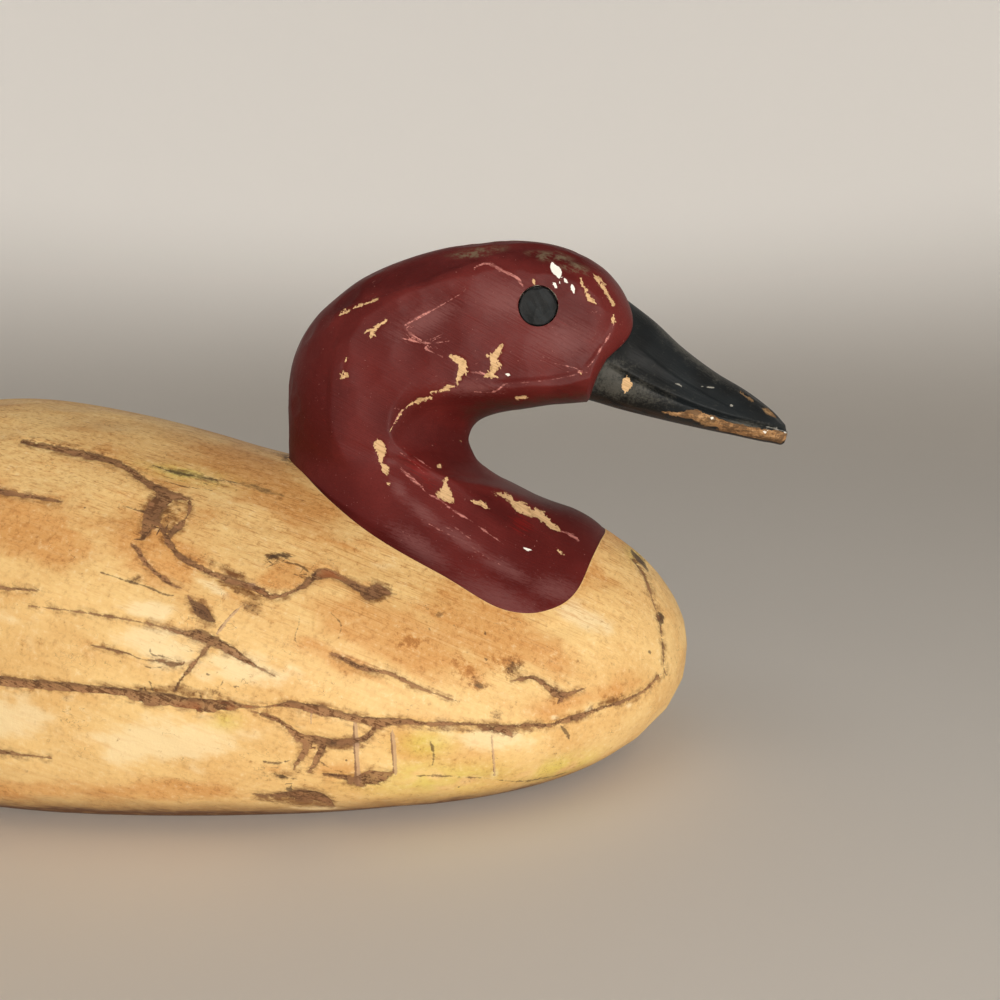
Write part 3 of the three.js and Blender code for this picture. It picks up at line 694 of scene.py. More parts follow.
# Wear on the far side, drawn by a seeded walk: how many strokes, between which pixels across and down they
# start, heading in degrees, length, width and how much they wander
FAR_WEAR = {
    "splits": (9, (-240, 600), (480, 760), 8, (120, 420), (3, 9), 0.35),
    "branches": (12, (-240, 600), (480, 780), 40, (30, 130), (3, 8), 0.35),
    "marks": (22, (-240, 620), (440, 780), 15, (24, 90), (1.5, 4), 0.5),
    "chips": (26, (300, 600), (270, 600), 30, (14, 50), (3, 9), 0.6),
    "whites": (5, (480, 600), (280, 350), 60, (10, 24), (3, 6), 0.5),
    "scuffs": (14, (300, 600), (270, 600), 20, (30, 110), (3, 6), 0.3),
}


# Carving

WANDER_STEP, WAVE_COUNT = 14, 5
# No flat is cut where the surface rises above it by more than the limit, or faces another way than it does
HOLLOW_LIMIT, LEAST_ALIKE = 0.3, 0.3
# Strokes lie where the surface faces the camera enough, and fade out by this many millimetres past their edge
LEAST_FACING, STROKE_FADE, FAR_OUTSIDE = 0.2, 1.3, -9.0


def seeded(name):
    """A random source of its own for one piece of work, the same at every run."""
    return np.random.default_rng(sum(ord(letter) * (i + 1) for i, letter in enumerate(name)))


def knife_flats(points, normals, name, count, depth, spread, keep=None, tilt=0.03):
    """Depth of the flats that a knife leaves, taken straight in from the surface. Each flat is a plane laid
    a little under the surface and falling away with the distance, so that neighbours meet in creases. None is
    laid where the surface is hollow."""
    rng = seeded(name)
    cut_depth = np.zeros(len(points))
    allowed = np.flatnonzero(np.ones(len(points), bool) if keep is None else keep)
    reach = math.sqrt(6 * spread * depth) + 2
    for k in rng.choice(allowed, count, replace=False):
        facing = normals[k] + rng.normal(0, tilt, 3)
        facing /= np.linalg.norm(facing)
        near = np.flatnonzero((np.abs(points - points[k]) < reach).all(1))
        gap = points[near] - points[k]
        if (gap @ normals[k]).max() > HOLLOW_LIMIT:
            continue
        fall = (gap ** 2).sum(1) / (2 * spread * rng.uniform(0.6, 1.5))
        over = gap @ facing + depth * rng.uniform(0.5, 1.1) - fall
        over = np.where(normals[near] @ facing > LEAST_ALIKE, over, 0)
        cut_depth[near] = np.maximum(cut_depth[near], np.clip(over, 0, depth * 2))
    return cut_depth


def smooth(value, start, end):
    """0 at start and 1 at end, smooth between and level beyond."""
    t = np.clip((value - start) / (end - start), 0, 1)
    return t * t * (3 - 2 * t)


def waves(points, name, length):
    """A gentle undulation from -1 to 1, made of a few crossing waves."""
    rng = seeded(name)
    total = np.zeros(len(points))
    for _ in range(WAVE_COUNT):
        way = rng.normal(size=3)
        way /= np.linalg.norm(way)
        total += np.sin(points @ way * 2 * math.pi / (length * rng.uniform(0.7, 1.5)) + rng.uniform(0, 6.3))
    return total / WAVE_COUNT


def wander(rng, start, heading, length, wobble):
    """Points of a crack that wanders from a start."""
    points = [np.array(start, float)]
    turn = math.radians(heading)
    for _ in range(max(3, int(length / WANDER_STEP))):
        turn += rng.normal(0, wobble)
        turn += (math.radians(heading) - turn) * 0.3
        step = WANDER_STEP * rng.uniform(0.7, 1.3)
        points.append(points[-1] + step * np.array([math.cos(turn), math.sin(turn)]))
    return points


def far_strokes(name):
    """Strokes for the side away from the photograph, on the same frame, mirrored."""
    count, across, down, heading, length, width, wobble = FAR_WEAR[name]
    rng = seeded("far " + name)
    found = []
    for _ in range(count):
        start = (rng.uniform(*across), rng.uniform(*down))
        points = wander(rng, start, heading + rng.normal(0, 12), rng.uniform(*length), wobble)
        middle = rng.uniform(*width)
        found.append(((0.3 * middle, middle, rng.uniform(0.6, 1.3) * middle, 0.3 * middle), points))
    return found


def add_strokes(piece, points, facing, layer, near, far):
    """Stores a layer of strokes: the near side's as the photograph shows them, the far side's of their kind.
    Returns how far inside a stroke each point lies."""
    offset, half = np.empty((2, len(points)))
    for side, strokes in ((points[:, 1] <= 0, near.values()), (points[:, 1] > 0, far)):
        offset[side], half[side] = stroke_fields(points[side], strokes)
    half = np.where(facing > LEAST_FACING, half, NO_STROKE)
    store(piece, layer + "_offset", offset)
    store(piece, layer + "_half", np.where(np.abs(offset) > half + STROKE_FADE, NO_STROKE, half))
    return np.where(half > -0.4, half - np.abs(offset), FAR_OUTSIDE)


def add_spots(piece, points, facing, marks, moved=(0, 0)):
    """Stores the soft patches of colour, on the hidden side moved along by this much of the frame."""
    spots, _ = in_frame(points)
    spots = spots + smooth(points[:, 1], 2, 30)[:, None] * np.array(moved)
    seen = smooth(facing, 0.0, 0.25)
    for name, places in marks.items():
        store(piece, name, soft_spots(spots, places) * seen)


# Paint

class Wire:
    """A value that runs through a material's nodes, with the sums that it can take part in."""

    def __init__(self, finish, socket):
        self.finish, self.socket = finish, socket

    def sum(self, operation, *values):
        return self.finish.node("ShaderNodeMath", {"operation": operation}, *values)

    def __add__(self, other):
        return self.sum("ADD", self, other)

    def __sub__(self, other):
        return self.sum("SUBTRACT", self, other)

    def __rsub__(self, other):
        return self.sum("SUBTRACT", other, self)

    def __mul__(self, other):
        return self.sum("MULTIPLY", self, other)

    def __abs__(self):
        return self.sum("ABSOLUTE", self)

    def __gt__(self, other):
        return self.sum("GREATER_THAN", self, other)

    def __lt__(self, other):
        return self.sum("LESS_THAN", self, other)

    __radd__ = __add__
    __rmul__ = __mul__

    def beside(self, output):
        """Another output of the same node."""
        return Wire(self.finish, self.socket.node.outputs[output])

    def larger(self, other):
        return self.sum("MAXIMUM", self, other)

    def step(self, start, end):
        """0 at start and 1 at end, smooth between and level beyond."""
        return self.finish.node("ShaderNodeMapRange", {"interpolation_type": "SMOOTHSTEP"}, self, start, end)


class Finish:
    """A material built from nodes, with patterns measured in millimetres."""

    def __init__(self, name, colours=None):
        self.colours = colours
        self.material = bpy.data.materials.new(name)
        self.material.use_nodes = True
        self.tree = self.material.node_tree
        self.tree.nodes.clear()
        places = self.node("ShaderNodeTexCoord", {}, output="Object")
        self.spot = self.node("ShaderNodeVectorMath", {"operation": "SCALE"}, places, Scale=1 / MM)

    def node(self, kind, settings, *values, output=0, **named):
        """Adds a node: its settings first, then what its sockets take, in order or by name."""
        made = self.tree.nodes.new(kind)
        for key, value in settings.items():
            setattr(made, key, value)
        for key, value in list(enumerate(values)) + list(named.items()):
            socket = made.inputs[key.replace("_", " ") if isinstance(key, str) else key]
            if isinstance(value, Wire):
                self.tree.links.new(value.socket, socket)
            elif value is not None:
                socket.default_value = value
        return Wire(self, made.outputs[output]) if made.outputs else None

    def at(self, name):
        """A number that the mesh keeps for each of its points."""
        return self.node("ShaderNodeAttribute", {"attribute_name": name}, output="Fac")

    def place(self, length, width, tilt, shift):
        return self.node("ShaderNodeMapping", {"vector_type": "TEXTURE"}, self.spot,
                         (shift, -shift, shift / 2), (0, math.radians(tilt), 0), (length, width, width))

    def cloud(self, length, width=None, tilt=0, shift=0.0, detail=2, roughness=0.5):
        """Cloudy pattern about 0.5: its marks' length and width in millimetres, tilted down to the front."""
        place = self.place(length, width or length, tilt, shift)
        return self.node("ShaderNodeTexNoise", {}, place, Scale=1.0, Detail=detail, Roughness=roughness)

    def dots(self, size, share, radius, shift=0.0):
        """Small round specks of a radius, in a share of the cells of a size, in millimetres."""
        place = self.place(size, size, 0, shift)
        away = self.node("ShaderNodeTexVoronoi", {"feature": "F1"}, place, Scale=1.0, output="Distance")
        pick = self.node("ShaderNodeRGBToBW", {}, away.beside("Color"))
        reach = pick * (radius / size)
        return (reach - away).step(0, 0.3 * radius / size) * (pick > 1 - share)

    def mix(self, share, first, second):
        """A colour between two. Each is a value, a wire or the name of one of the decoy's colours."""
        pair = [(*getattr(self.colours, c), 1) if isinstance(c, str) else c for c in (first, second)]
        return self.node("ShaderNodeMix", {"data_type": "RGBA", "clamp_result": True},
                         share, None, None, None, None, None, *pair, output=2)

    def coats(self, colour, *coats):
        """Coats laid one over another, each with its share and its colour."""
        for share, coat in coats:
            colour = self.mix(share, colour, coat)
        return colour

    def finish(self, colour, roughness, height, **constants):
        """The shader, with its relief in millimetres."""
        relief = self.node("ShaderNodeBump", {}, Strength=1.0, Distance=MM, Height=height) if height else None
        shader = self.node("ShaderNodeBsdfPrincipled", {}, Base_Color=colour, Roughness=roughness,
                           Normal=relief, **constants)
        self.node("ShaderNodeOutputMaterial", {}, shader)
        return self.material


def rgb(red, green, blue):
    """A colour from its usual 0 to 255 values, as the linear light that the nodes work in."""
    share = np.array([red, green, blue]) / 255
    linear = np.where(share < 0.04045, share / 12.92, ((share + 0.055) / 1.055) ** 2.4)
    return linear.tolist()


def inside_of(finish, layer):
    """How far inside a stroke a point lies, in millimetres."""
    return finish.at(layer + "_half") - abs(finish.at(layer + "_offset"))


def body_paint(colours):
    f = Finish("body_paint", colours)
    patch = f.cloud(34, 13, 17, shift=11).step(0.34, 0.70)
    blot = f.cloud(15, 9, 10, shift=71, roughness=0.6)
    fine = f.cloud(5, 2.6, 18, shift=21, roughness=0.6)
    streak = f.cloud(34, 1.3, 23, shift=31, roughness=0.6)
    grain = f.cloud(26, 0.55, 24, shift=61, roughness=0.7)
    grit = f.cloud(2.0, shift=51, detail=3, roughness=0.75)
    # top is how far the surface faces up: it makes upward-facing paint warmer and darker in the wash, the
    # streaks, the grain and the specks, a painted shade.
    top = f.at("top")
    warm = (f.at("orange") + (patch - 0.4) * 0.3 + (blot - 0.5) * 1.6 + top * 0.35).step(0.3, 0.95)
    # light is the pale paint, with the painted highlight on the lower edge.
    light = (f.at("pale") + (fine - 0.5) * 0.8 - (blot - 0.5) * 1.6).step(0.25, 0.85)
    # How strongly the dark specks show: dirt, and the painted shade on top.
    dirt_and_shade = patch * 0.4 + warm * 0.4 + top * 0.35 + 0.25 - light * 0.4
    golden = (f.at("gold") + (grit - 0.5) * 2.4 + (fine - 0.5)).step(0.3, 1.0)
    crack = (abs(fine - 0.5) + abs(patch - 0.5) * 0.02).step(0.010, 0.003) * blot.step(0.5, 0.56)
    ragged = (grit - 0.5) * 2.6 + (fine - 0.5) * 1.8 + (grain - 0.5) * 1.6
    sooty = (f.at("soot") + ragged * 0.5).step(0.25, 1.0)
    stained = (f.at("stain") + ragged * 0.4).step(0.25, 1.1)
    smear = f.at("smear") * (fine + ragged * 0.3 + f.at("stain") * 0.4)
    drip = (inside_of(f, "drip") + ragged * 0.3).step(-0.1, 0.2)
    drip_side = (f.at("drip_offset") + ragged * 0.2).step(0.1, 0.4) * drip
    marks = (inside_of(f, "mark") + ragged * 0.5).step(-0.1, 0.35)
    paint = f.coats("cream", (patch * 0.5, "tan"), (warm * 0.55, "orange"), (light * 0.6, "pale"),
                    (f.at("green") * 0.8 * blot.step(0.3, 0.55), "green"),
                    (streak.step(0.50, 0.70) * (0.12 + top * 0.15), "orange"),
                    (streak.step(0.46, 0.3) * 0.08, "pale"),
                    (grit.step(0.46, 0.26) * 0.35, "pale"),
                    (grain.step(0.5, 0.66) * (0.06 + top * 0.5), "orange"),
                    (grain.step(0.58, 0.70) * top * 0.3, "brown"),
                    (grit.step(0.48, 0.72) * dirt_and_shade * 0.6, f.mix(0.5 + top * 0.2, "brown", "orange")),
                    (golden * 0.75, f.mix(grit.step(0.4, 0.6) * 0.5, "orange", "stain")),
                    (f.dots(11.0, 0.35, 0.6, shift=7) * 0.7, "dark"),
                    (crack * 0.5, "brown"),
                    # Darker brown towards the bottom: painted shade where the body turns under, held off the
                    # painted highlight on the lower edge.
                    (f.at("low") * (0.55 + fine) * (1 - light * 0.9), "brown"),
                    (sooty * 0.65, "soot"),
                    (stained * 0.6, "stain"),
                    (stained * grit.step(0.5, 0.62) * 0.5, "dark"),
                    (smear.step(0.2, 0.9) * 0.7, "stain"),
                    (drip * 0.7, "drip"), (drip_side * 0.7, "brown"), (marks * 0.7, "dark"))
    edge = inside_of(f, "split").larger(inside_of(f, "branch"))
    split = (edge + ragged * 0.6).step(-0.25, 0.3)
    mottle = (fine * 0.2 + grit * 0.45 + grain * 0.35).step(0.44, 0.54)
    # Painted shadow along the upper side of each split.
    shade = (f.at("split_offset") * -1 - f.at("split_half") * 0.2 + ragged * 0.3).step(0.0, 0.7)
    inside = f.coats("brown", (mottle, "split"),
                     (blot.step(0.44, 0.60) * 0.3, "dark"),
                     (f.at("rust") * fine.step(0.4, 0.6), "rust"),
                     (shade * 0.45, "dark"),
                     ((edge + ragged * 0.5).step(0.5, 0.05) * 0.25, "dark"))
    colour = f.mix(split * (0.55 + fine * 0.4 + (1 - mottle) * 0.3), paint, inside)
    return f.finish(colour, 0.48 + fine * 0.16 + split * 0.3, grit * 0.2, Specular_IOR_Level=0.3)


def head_paint(colours):
    f = Finish("head_paint", colours)
    patch = f.cloud(22, shift=5).step(0.36, 0.66)
    fine = f.cloud(3.2, shift=15, roughness=0.65)
    brush = f.cloud(14, 0.5, 28, shift=25, roughness=0.6)
    powder = f.cloud(0.9, shift=35, detail=3, roughness=0.75)
    ragged = (powder - 0.5) * 1.8 + (fine - 0.5) * 3.2
    # Powdery bloom on the burgundy, with a painted sheen along the flare and on the cheek.
    dusty = (f.at("dust") * 0.9 + (powder - 0.5) * 0.9 + (brush - 0.5) * 1.2).step(0.1, 1.1)
    soiled = (fine * 0.5 + powder * 0.3 + brush * 0.3).step(0.46, 0.66) * f.at("dirt").step(0.05, 0.6)
    scuff = (inside_of(f, "scuff") - 0.2 + ragged * 0.5).step(0.0, 0.3) * (0.35 + brush.step(0.46, 0.56))
    red = f.coats("burgundy", (patch * 0.55, "deep"), (dusty * 0.65, "dusty"),
                  (brush.step(0.54, 0.72) * 0.3, "deep"), (powder.step(0.42, 0.66) * 0.22, "deep"),
                  # Painted shade from the deep spots, on the crown and the neck.
                  ((f.at("deep") + (fine - 0.5) * 0.6).step(0.1, 1.0) * 0.85, "deep"),
                  ((powder.step(0.64, 0.70) * fine.step(0.5, 0.6)) * 0.35, "pink"),
                  ((f.at("red") + (brush - 0.5) * 3).step(0.3, 1.1) * 0.55, "bright"),
                  (soiled * 0.75, "soil"), (scuff * 0.6, "pink"))
    worn = (f.at("ash") * 0.9 + (powder - 0.5) * 1.6 + (fine - 0.5)).step(0.1, 1.0)
    black = f.coats("black", (patch * 0.6, "slate"), (worn * 0.5, "ash"))
    station = f.at("station")
    bill = station.step(PAINT_EDGE_SECTION + 0.2, PAINT_EDGE_SECTION + 0.6)
    bare = (inside_of(f, "bare") + ragged * 0.9).step(-0.1, 0.2)
    grimy = fine * 0.5 + powder * 0.3 + brush * 0.2 + station.step(15.5, 18.5) * 0.04
    wood = f.coats("wood", (brush.step(0.42, 0.58) * 0.6, "chip"), (patch * 0.25, "rust"),
                   (grimy.step(0.49, 0.58) * 0.7, "dark"))
    chip = (inside_of(f, "chip") + ragged - 0.1).step(-0.05, 0.12)
    tan = f.mix(brush.step(0.5, 0.58) * 0.4 + fine.step(0.56, 0.64) * 0.4, "chip", "wood")
    white = (inside_of(f, "white") + ragged * 0.4).step(-0.05, 0.12)
    # Painted shade on the undersides of the head, under the jaw and the bill.
    colour = f.coats(red, (bill, black), (f.at("under") * fine.step(0.3, 0.55) * 0.6, "dark"),
                     (bare * 0.95, wood), (chip * 0.95, tan),
                     (white, f.mix(bill * (1 - bare) * 0.8, "white", "ash")))
    lost = chip.larger(bare).larger(white)
    rough = 0.42 + fine * 0.14 + lost * 0.28 + soiled * 0.2 + dusty * 0.1
    return f.finish(colour, rough, brush * 0.11, Specular_IOR_Level=0.15)


def eye_paint(colours):
    f = Finish("eye_paint", colours)
    brush = f.cloud(5, 1.2, 60, shift=5)
    powder = f.cloud(0.6, shift=15, roughness=0.7)
    black = f.coats("black", (brush.step(0.4, 0.7) * 0.5, "slate"), (powder.step(0.58, 0.74) * 0.15, "ash"))
    return f.finish(black, 0.5 + powder * 0.2, brush * 0.12 + powder * 0.03, Specular_IOR_Level=0.22)


# Pieces

def ring_places():
    """Places along the body for rings that are evenly spaced over its outline."""
    x = TAIL_X + (BREAST_X - TAIL_X) * (1 - np.cos(np.linspace(0, math.pi, 10 * BODY_RINGS + 1))) / 2
    run = np.concatenate([[0], np.cumsum(np.hypot(np.diff(x), np.diff(body_width_at(x))))])
    return np.interp(np.linspace(0, run[-1], BODY_RINGS + 2)[1:-1], run, x)


def body_rings():
    """Rings of the body, with the most points on the side that the photograph shows."""
    stops = (0, math.pi - UNDER_ANGLE, math.pi + UNDER_ANGLE, 2 * math.pi)
    angle = np.concatenate([np.linspace(*stops[k:k + 2], sides, endpoint=False)
                            for k, sides in enumerate((FAR_SIDES, UNDER_SIDES, NEAR_SIDES))])
    x = ring_places()[:, None]
    upper = np.cos(angle)[None, :] >= 0
    power = 2 / np.where(upper, curve_through(UPPER_POWERS, x), curve_through(LOWER_POWERS, x))
    y = np.sign(np.sin(angle)) * body_width_at(x) * np.abs(np.sin(angle)) ** power
    reach = np.where(upper, back_at(x), keel_at(x)) - ridge_at(x)
    z = ridge_at(x) + reach * np.abs(np.cos(angle)) ** power
    return np.stack([x + 0 * y, y, np.maximum(z, 0)], -1)


def seat_cutter():
    angle = around(HEAD_SIDES)
    floor = foot_ring(angle, seat_at, SEAT_GAP)
    top = foot_ring(angle, lambda x, y: SEAT_CUTTER_TOP, SEAT_GAP)
    ends = centre_row(floor, seat_at), centre_row(top, lambda x, y: SEAT_CUTTER_TOP)
    return new_object("seat_cutter", *closed_loft(np.stack([floor, top]), *ends))


# Only points within this of the foot and above this height are measured, so many at a time
FOOT_SURROUND, FOOT_LOWEST_Z, POINTS_AT_ONCE = 20, 60, 4000


def distance_from_foot(points):
    """How far each point lies from the outline of the neck's foot in plan, in millimetres."""
    outline = foot_ring(around(360), seat_at)[:, :2]
    distance = np.full(len(points), AWAY)
    low, high = outline.min(0) - FOOT_SURROUND, outline.max(0) + FOOT_SURROUND
    beside = ((points[:, :2] > low) & (points[:, :2] < high)).all(1) & (points[:, 2] > FOOT_LOWEST_Z)
    near = np.flatnonzero(beside)
    for part in np.array_split(near, max(1, len(near) // POINTS_AT_ONCE)):
        gap = points[part][:, None, :2] - outline[None]
        distance[part] = np.sqrt((gap ** 2).sum(-1).min(1))
    return distance


def make_body(scene):
    points, faces = closed_loft(body_rings(), [TAIL_X, 0, TAIL_Z], [BREAST_X, 0, BREAST_Z])
    piece = new_object("carved_body", points, faces)
    normals = normals_of(piece)
    wear = scene.decoy_wear
    facing = facing_of(points, normals)
    free = smooth(distance_from_foot(points), 0.5, 7.0) * smooth(points[:, 2], 0.0, 3.0)
    flats = knife_flats(points, normals, "body flats", count=420, depth=wear.flat_depth / MM, spread=160)
    splits = add_strokes(piece, points, facing, "split", BODY_SPLITS, far_strokes("splits"))
    branches = add_strokes(piece, points, facing, "branch", BODY_BRANCHES, far_strokes("branches"))
    store(piece, "smear", np.exp(-(np.clip(-np.maximum(splits, branches), 0, 9) / 1.9) ** 2))
    add_strokes(piece, points, facing, "drip", BODY_DRIPS, [])
    add_strokes(piece, points, facing, "mark", BODY_MARKS, far_strokes("marks"))
    # How far the surface faces up, for the painted shade on top.
    store(piece, "top", smooth(normals[:, 2], 0.25, 0.95))
    # Darker towards the bottom, for painted shade where the body turns under.
    store(piece, "low", smooth(points[:, 2], 15, 1))
    add_spots(piece, points, facing, BODY_SPOTS, moved=HIDDEN_SIDE_MOVED)
    lost = smooth(np.maximum(splits, branches), -0.4, 0.7) * wear.split_depth / MM
    swell = (0.5 + 0.5 * waves(points, "body waves", SWELL_LENGTH)) * BODY_SWELL
    inward = (flats + lost + swell) * free
    set_points(piece, points - normals * inward[:, None])
    cut(piece, seat_cutter())
    finish_piece(piece, "body", body_paint(scene.decoy_colours))


def head_rings():
    """Rings from the foot to the bill's tip, with the section number of each."""
    angle = around(HEAD_SIDES)
    carved = [foot_ring(angle, body_top_at)]
    carved += [flare_ring(angle, stage) for stage in FLARE]
    carved += [section_ring(angle, section) for section in SECTIONS]
    stations = []
    for k in range(len(carved) - 1):
        reach = np.linalg.norm(carved[k + 1] - carved[k], axis=1).max()
        steps = max(3, math.ceil(reach / HEAD_RING_SPACING))
        stations.append(k + np.arange(steps) / steps)
    stations = np.concatenate(stations + [[len(carved) - 1]])
    rings = curve_through(list(enumerate(carved)), stations)
    return rings, stations - 1 - len(FLARE)


def bill_relief(points, station):
    """Depth of the mouth's groove and of the hollow above it, on both sides of the bill."""
    above = points[:, 2] - curve_through(MOUTH_LINE, points[:, 0])
    on_bill = smooth(station, PAINT_EDGE_SECTION + 1.0, PAINT_EDGE_SECTION + 1.6)
    groove = GROOVE_DEPTH * np.exp(-(above / GROOVE_WIDTH) ** 2)
    hollow = BILL_HOLLOW_DEPTH * np.exp(-((above - BILL_HOLLOW_RISE) / BILL_HOLLOW_WIDTH) ** 2)
    hollow *= smooth(points[:, 0], 215, 175)
    edge, strength = stroke_fields(points, [BILL_CREASE], reach=30.0)
    plane = smooth(-edge, -0.2, 0.8) * smooth(-edge, 7.0, 1.2) * np.clip(strength, 0, 1) * (edge > -30)
    return (groove + hollow + BILL_PLANE_DEPTH * plane) * on_bill


def hollow_relief(points):
    """Depth of the scoop at the throat, of the crease where the neck flares and of the large flats' edges;
    and where the scoop is, from 0 to 1."""
    edge, strength = stroke_fields(points, [HOLLOW_EDGE], reach=90.0)
    scoop = smooth(-edge, 0.0, 5.0) * smooth(-edge, 20.0, 7.0) * np.clip(strength / 3, 0, 1) * (edge > -60)
    crease, strength = stroke_fields(points, [FLARE_CREASE], reach=50.0)
    flare = np.exp(-(crease / FLARE_WIDTH) ** 2) * np.clip(strength / 2.5, 0, 1)
    edge, strength = stroke_fields(points, HEAD_CREASES.values(), reach=36.0)
    facets = smooth(edge, -0.2, 1.1) * smooth(edge, 8.0, 1.5) * np.clip(strength, 0, 1.2) * (edge < 40)
    return SCOOP_DEPTH * scoop + FLARE_DEPTH * flare + FACET_DEPTH * facets, scoop


def throat_fullness(points, normals):
    """Height that is added along the inner edge of the neck, between the throat and the foot's front."""
    offset, height = stroke_fields(points, [THROAT_FULLNESS], reach=50.0)
    near = np.exp(-(offset / THROAT_WIDTH) ** 2)
    return np.clip(height, 0, 3) * near * (1 - normals[:, 1] ** 2)


def head_flats(points, normals, station, root, scoop, depth):
    """Depth of the knife's flats on the head and neck, except in the scoop, and on the bill."""
    solid = (station > -0.5) & (station < PAINT_EDGE_SECTION - 0.3) & (scoop < 0.05)
    head = knife_flats(points, normals, "head flats", count=300, depth=depth * 0.8, spread=60, keep=solid)
    bill = knife_flats(points, normals, "bill flats", count=60, depth=depth * 0.6, spread=60,
                       keep=station > PAINT_EDGE_SECTION + 1.4)
    return root * head + smooth(station, PAINT_EDGE_SECTION + 1, PAINT_EDGE_SECTION + 2) * bill


def foot_base_at(x, y):
    return seat_at(x, y) + SEAT_GAP


def make_head(scene):
    rings, stations = head_rings()
    base = foot_ring(around(HEAD_SIDES), foot_base_at)
    base_row = centre_row(base, foot_base_at)
    rings = np.concatenate([base[None], rings])
    points, faces = closed_loft(rings, base_row, [BILL_TIP[0], 0, BILL_TIP[1]])
    piece = new_object("carved_head", points, faces)
    under_foot = -4.0
    station = np.concatenate([np.repeat([under_foot, *stations], HEAD_SIDES),
                              np.full(len(base_row), under_foot), [len(SECTIONS) - 1.0]])
    store(piece, "station", station)
    normals = normals_of(piece)
    facing = facing_of(points, normals)
    wear = scene.decoy_wear
    root = smooth(station, PAINT_EDGE_SECTION - 0.1, PAINT_EDGE_SECTION - 0.7)
    hollow, scoop = hollow_relief(points)
    relief = root * (hollow - throat_fullness(points, normals)) + bill_relief(points, station)
    relief += head_flats(points, normals, station, root, scoop, wear.flat_depth / MM)
    layers = {
        "chip": (HEAD_CHIPS, far_strokes("chips")),
        "white": (HEAD_WHITES, far_strokes("whites")),
        "scuff": (HEAD_SCUFFS, far_strokes("scuffs")),
        "bare": (BILL_BARE, BILL_BARE.values()),
    }
    inside = {name: add_strokes(piece, points, facing, name, *strokes) for name, strokes in layers.items()}
    lost = np.maximum(np.maximum(inside["chip"], inside["white"]), inside["bare"])
    relief += smooth(lost, -0.2, 0.3) * wear.chip_depth / MM
    add_spots(piece, points, facing, HEAD_SPOTS)
    # Where the head faces down, for painted shade under the jaw and the bill.
    store(piece, "under", smooth(-normals[:, 2], 0.72, 0.92) * smooth(points[:, 0], 60, 110))
    relief *= smooth(station, -1 - len(FLARE), 0.4 - len(FLARE))
    set_points(piece, points - normals * relief[:, None])
    for side in (-1, 1):
        cut(piece, eye_hole_cutter(side))
    finish_piece(piece, "head_and_neck", head_paint(scene.decoy_colours))


def turned(profile, side):
    """Points and faces of a round shape about the eye's axis, from radius and depth pairs."""
    angle = around(EYE_SIDES)
    rings = [np.stack([EYE_X + r * np.cos(angle) * side, 0 * angle + side * y, EYE_Z + r * np.sin(angle)], -1)
             for r, y in profile[1:-1]]
    start, end = ([EYE_X, side * y, EYE_Z] for _, y in (profile[0], profile[-1]))
    return closed_loft(np.stack(rings), start, end)


def eye_hole_cutter(side):
    profile = [(0, HOLE_BOTTOM_Y), (HOLE_RADIUS, HOLE_BOTTOM_Y), (HOLE_RADIUS, EYE_CUTTER_END_Y),
               (0, EYE_CUTTER_END_Y)]
    return new_object("eye_hole_cutter", *turned(profile, side))


def make_eye(scene, side, node):
    profile = [(0, PEG_BACK_Y), (PEG_RADIUS, PEG_BACK_Y)]
    profile += [(PEG_RADIUS - inward, PEG_FACE_Y - back) for inward, back in PEG_EDGE]
    profile += [(r, PEG_FACE_Y - PEG_DOME * (r / PEG_RADIUS) ** 2)
                for r in np.linspace(PEG_FACE_RADIUS, 0, PEG_FACE_RINGS)]
    points, faces = turned(profile, side)
    piece = new_object("carved_" + node, points, faces)
    face = np.abs(points[:, 1]) > PEG_FACE_Y - 0.3
    normals = normals_of(piece)
    flats = knife_flats(points, normals, node + " flats", count=9, depth=0.35, spread=16, keep=face,
                        tilt=0.09)
    set_points(piece, points - normals * (flats * face)[:, None])
    finish_piece(piece, node, eye_paint(scene.decoy_colours))


# Stage

# The floor's outline as radius and height, and the lamps: place, aim, width and tint; all in metres
FLOOR_PROFILE = [(1.4, 0.0), (1.8, 0.05), (2.1, 0.2), (2.3, 0.5), (2.4, 1.0), (2.45, 2.2)]
FLOOR_RINGS, FLOOR_SIDES = 60, 128
LAMPS = {
    "key": ((0.32, -0.78, 0.2), (0.04, 0.0, 0.08), 0.22, (1.0, 0.96, 0.90)),
    "overhead": ((-0.3, -0.3, 2.0), (0.0, 0.0, 0.0), 1.2, (1.0, 0.99, 0.97)),
}
SENSOR_MM = 36.0
ROOM_TINT = (0.93, 0.95, 1.0, 1.0)


def pale_paper(settings):
    """The floor's material, which glows more the higher it rises."""
    f = Finish("pale_paper")
    paper = (*settings.floor, 1)
    grain = f.cloud(40, shift=2, detail=1)
    rise = f.node("ShaderNodeSeparateXYZ", {}, f.spot, output="Z").step(0, 700) * settings.glow
    f.material.cycles.emission_sampling = "NONE"
    return f.finish(paper, 0.84 + grain * 0.05, None, Specular_IOR_Level=0.1,
                    Emission_Color=f.mix(rise, (0, 0, 0, 1), paper), Emission_Strength=1.0)


def lay_floor(settings):
    """A round floor that curves up to a backdrop on every side."""
    knots = zip(np.linspace(0, 1, len(FLOOR_PROFILE)), FLOOR_PROFILE)
    outline = curve_through(list(knots), np.linspace(0, 1, FLOOR_RINGS))
    angle = around(FLOOR_SIDES)
    rings = [np.stack([r * np.cos(angle), r * np.sin(angle), z + 0 * angle], -1) for r, z in outline]
    faces = faces_between(FLOOR_RINGS, FLOOR_SIDES) + [list(range(FLOOR_SIDES))]
    floor = new_object("pale_floor", np.concatenate(rings) / MM, faces)
    floor.data.shade_smooth()
    floor.data.materials.append(pale_paper(settings))


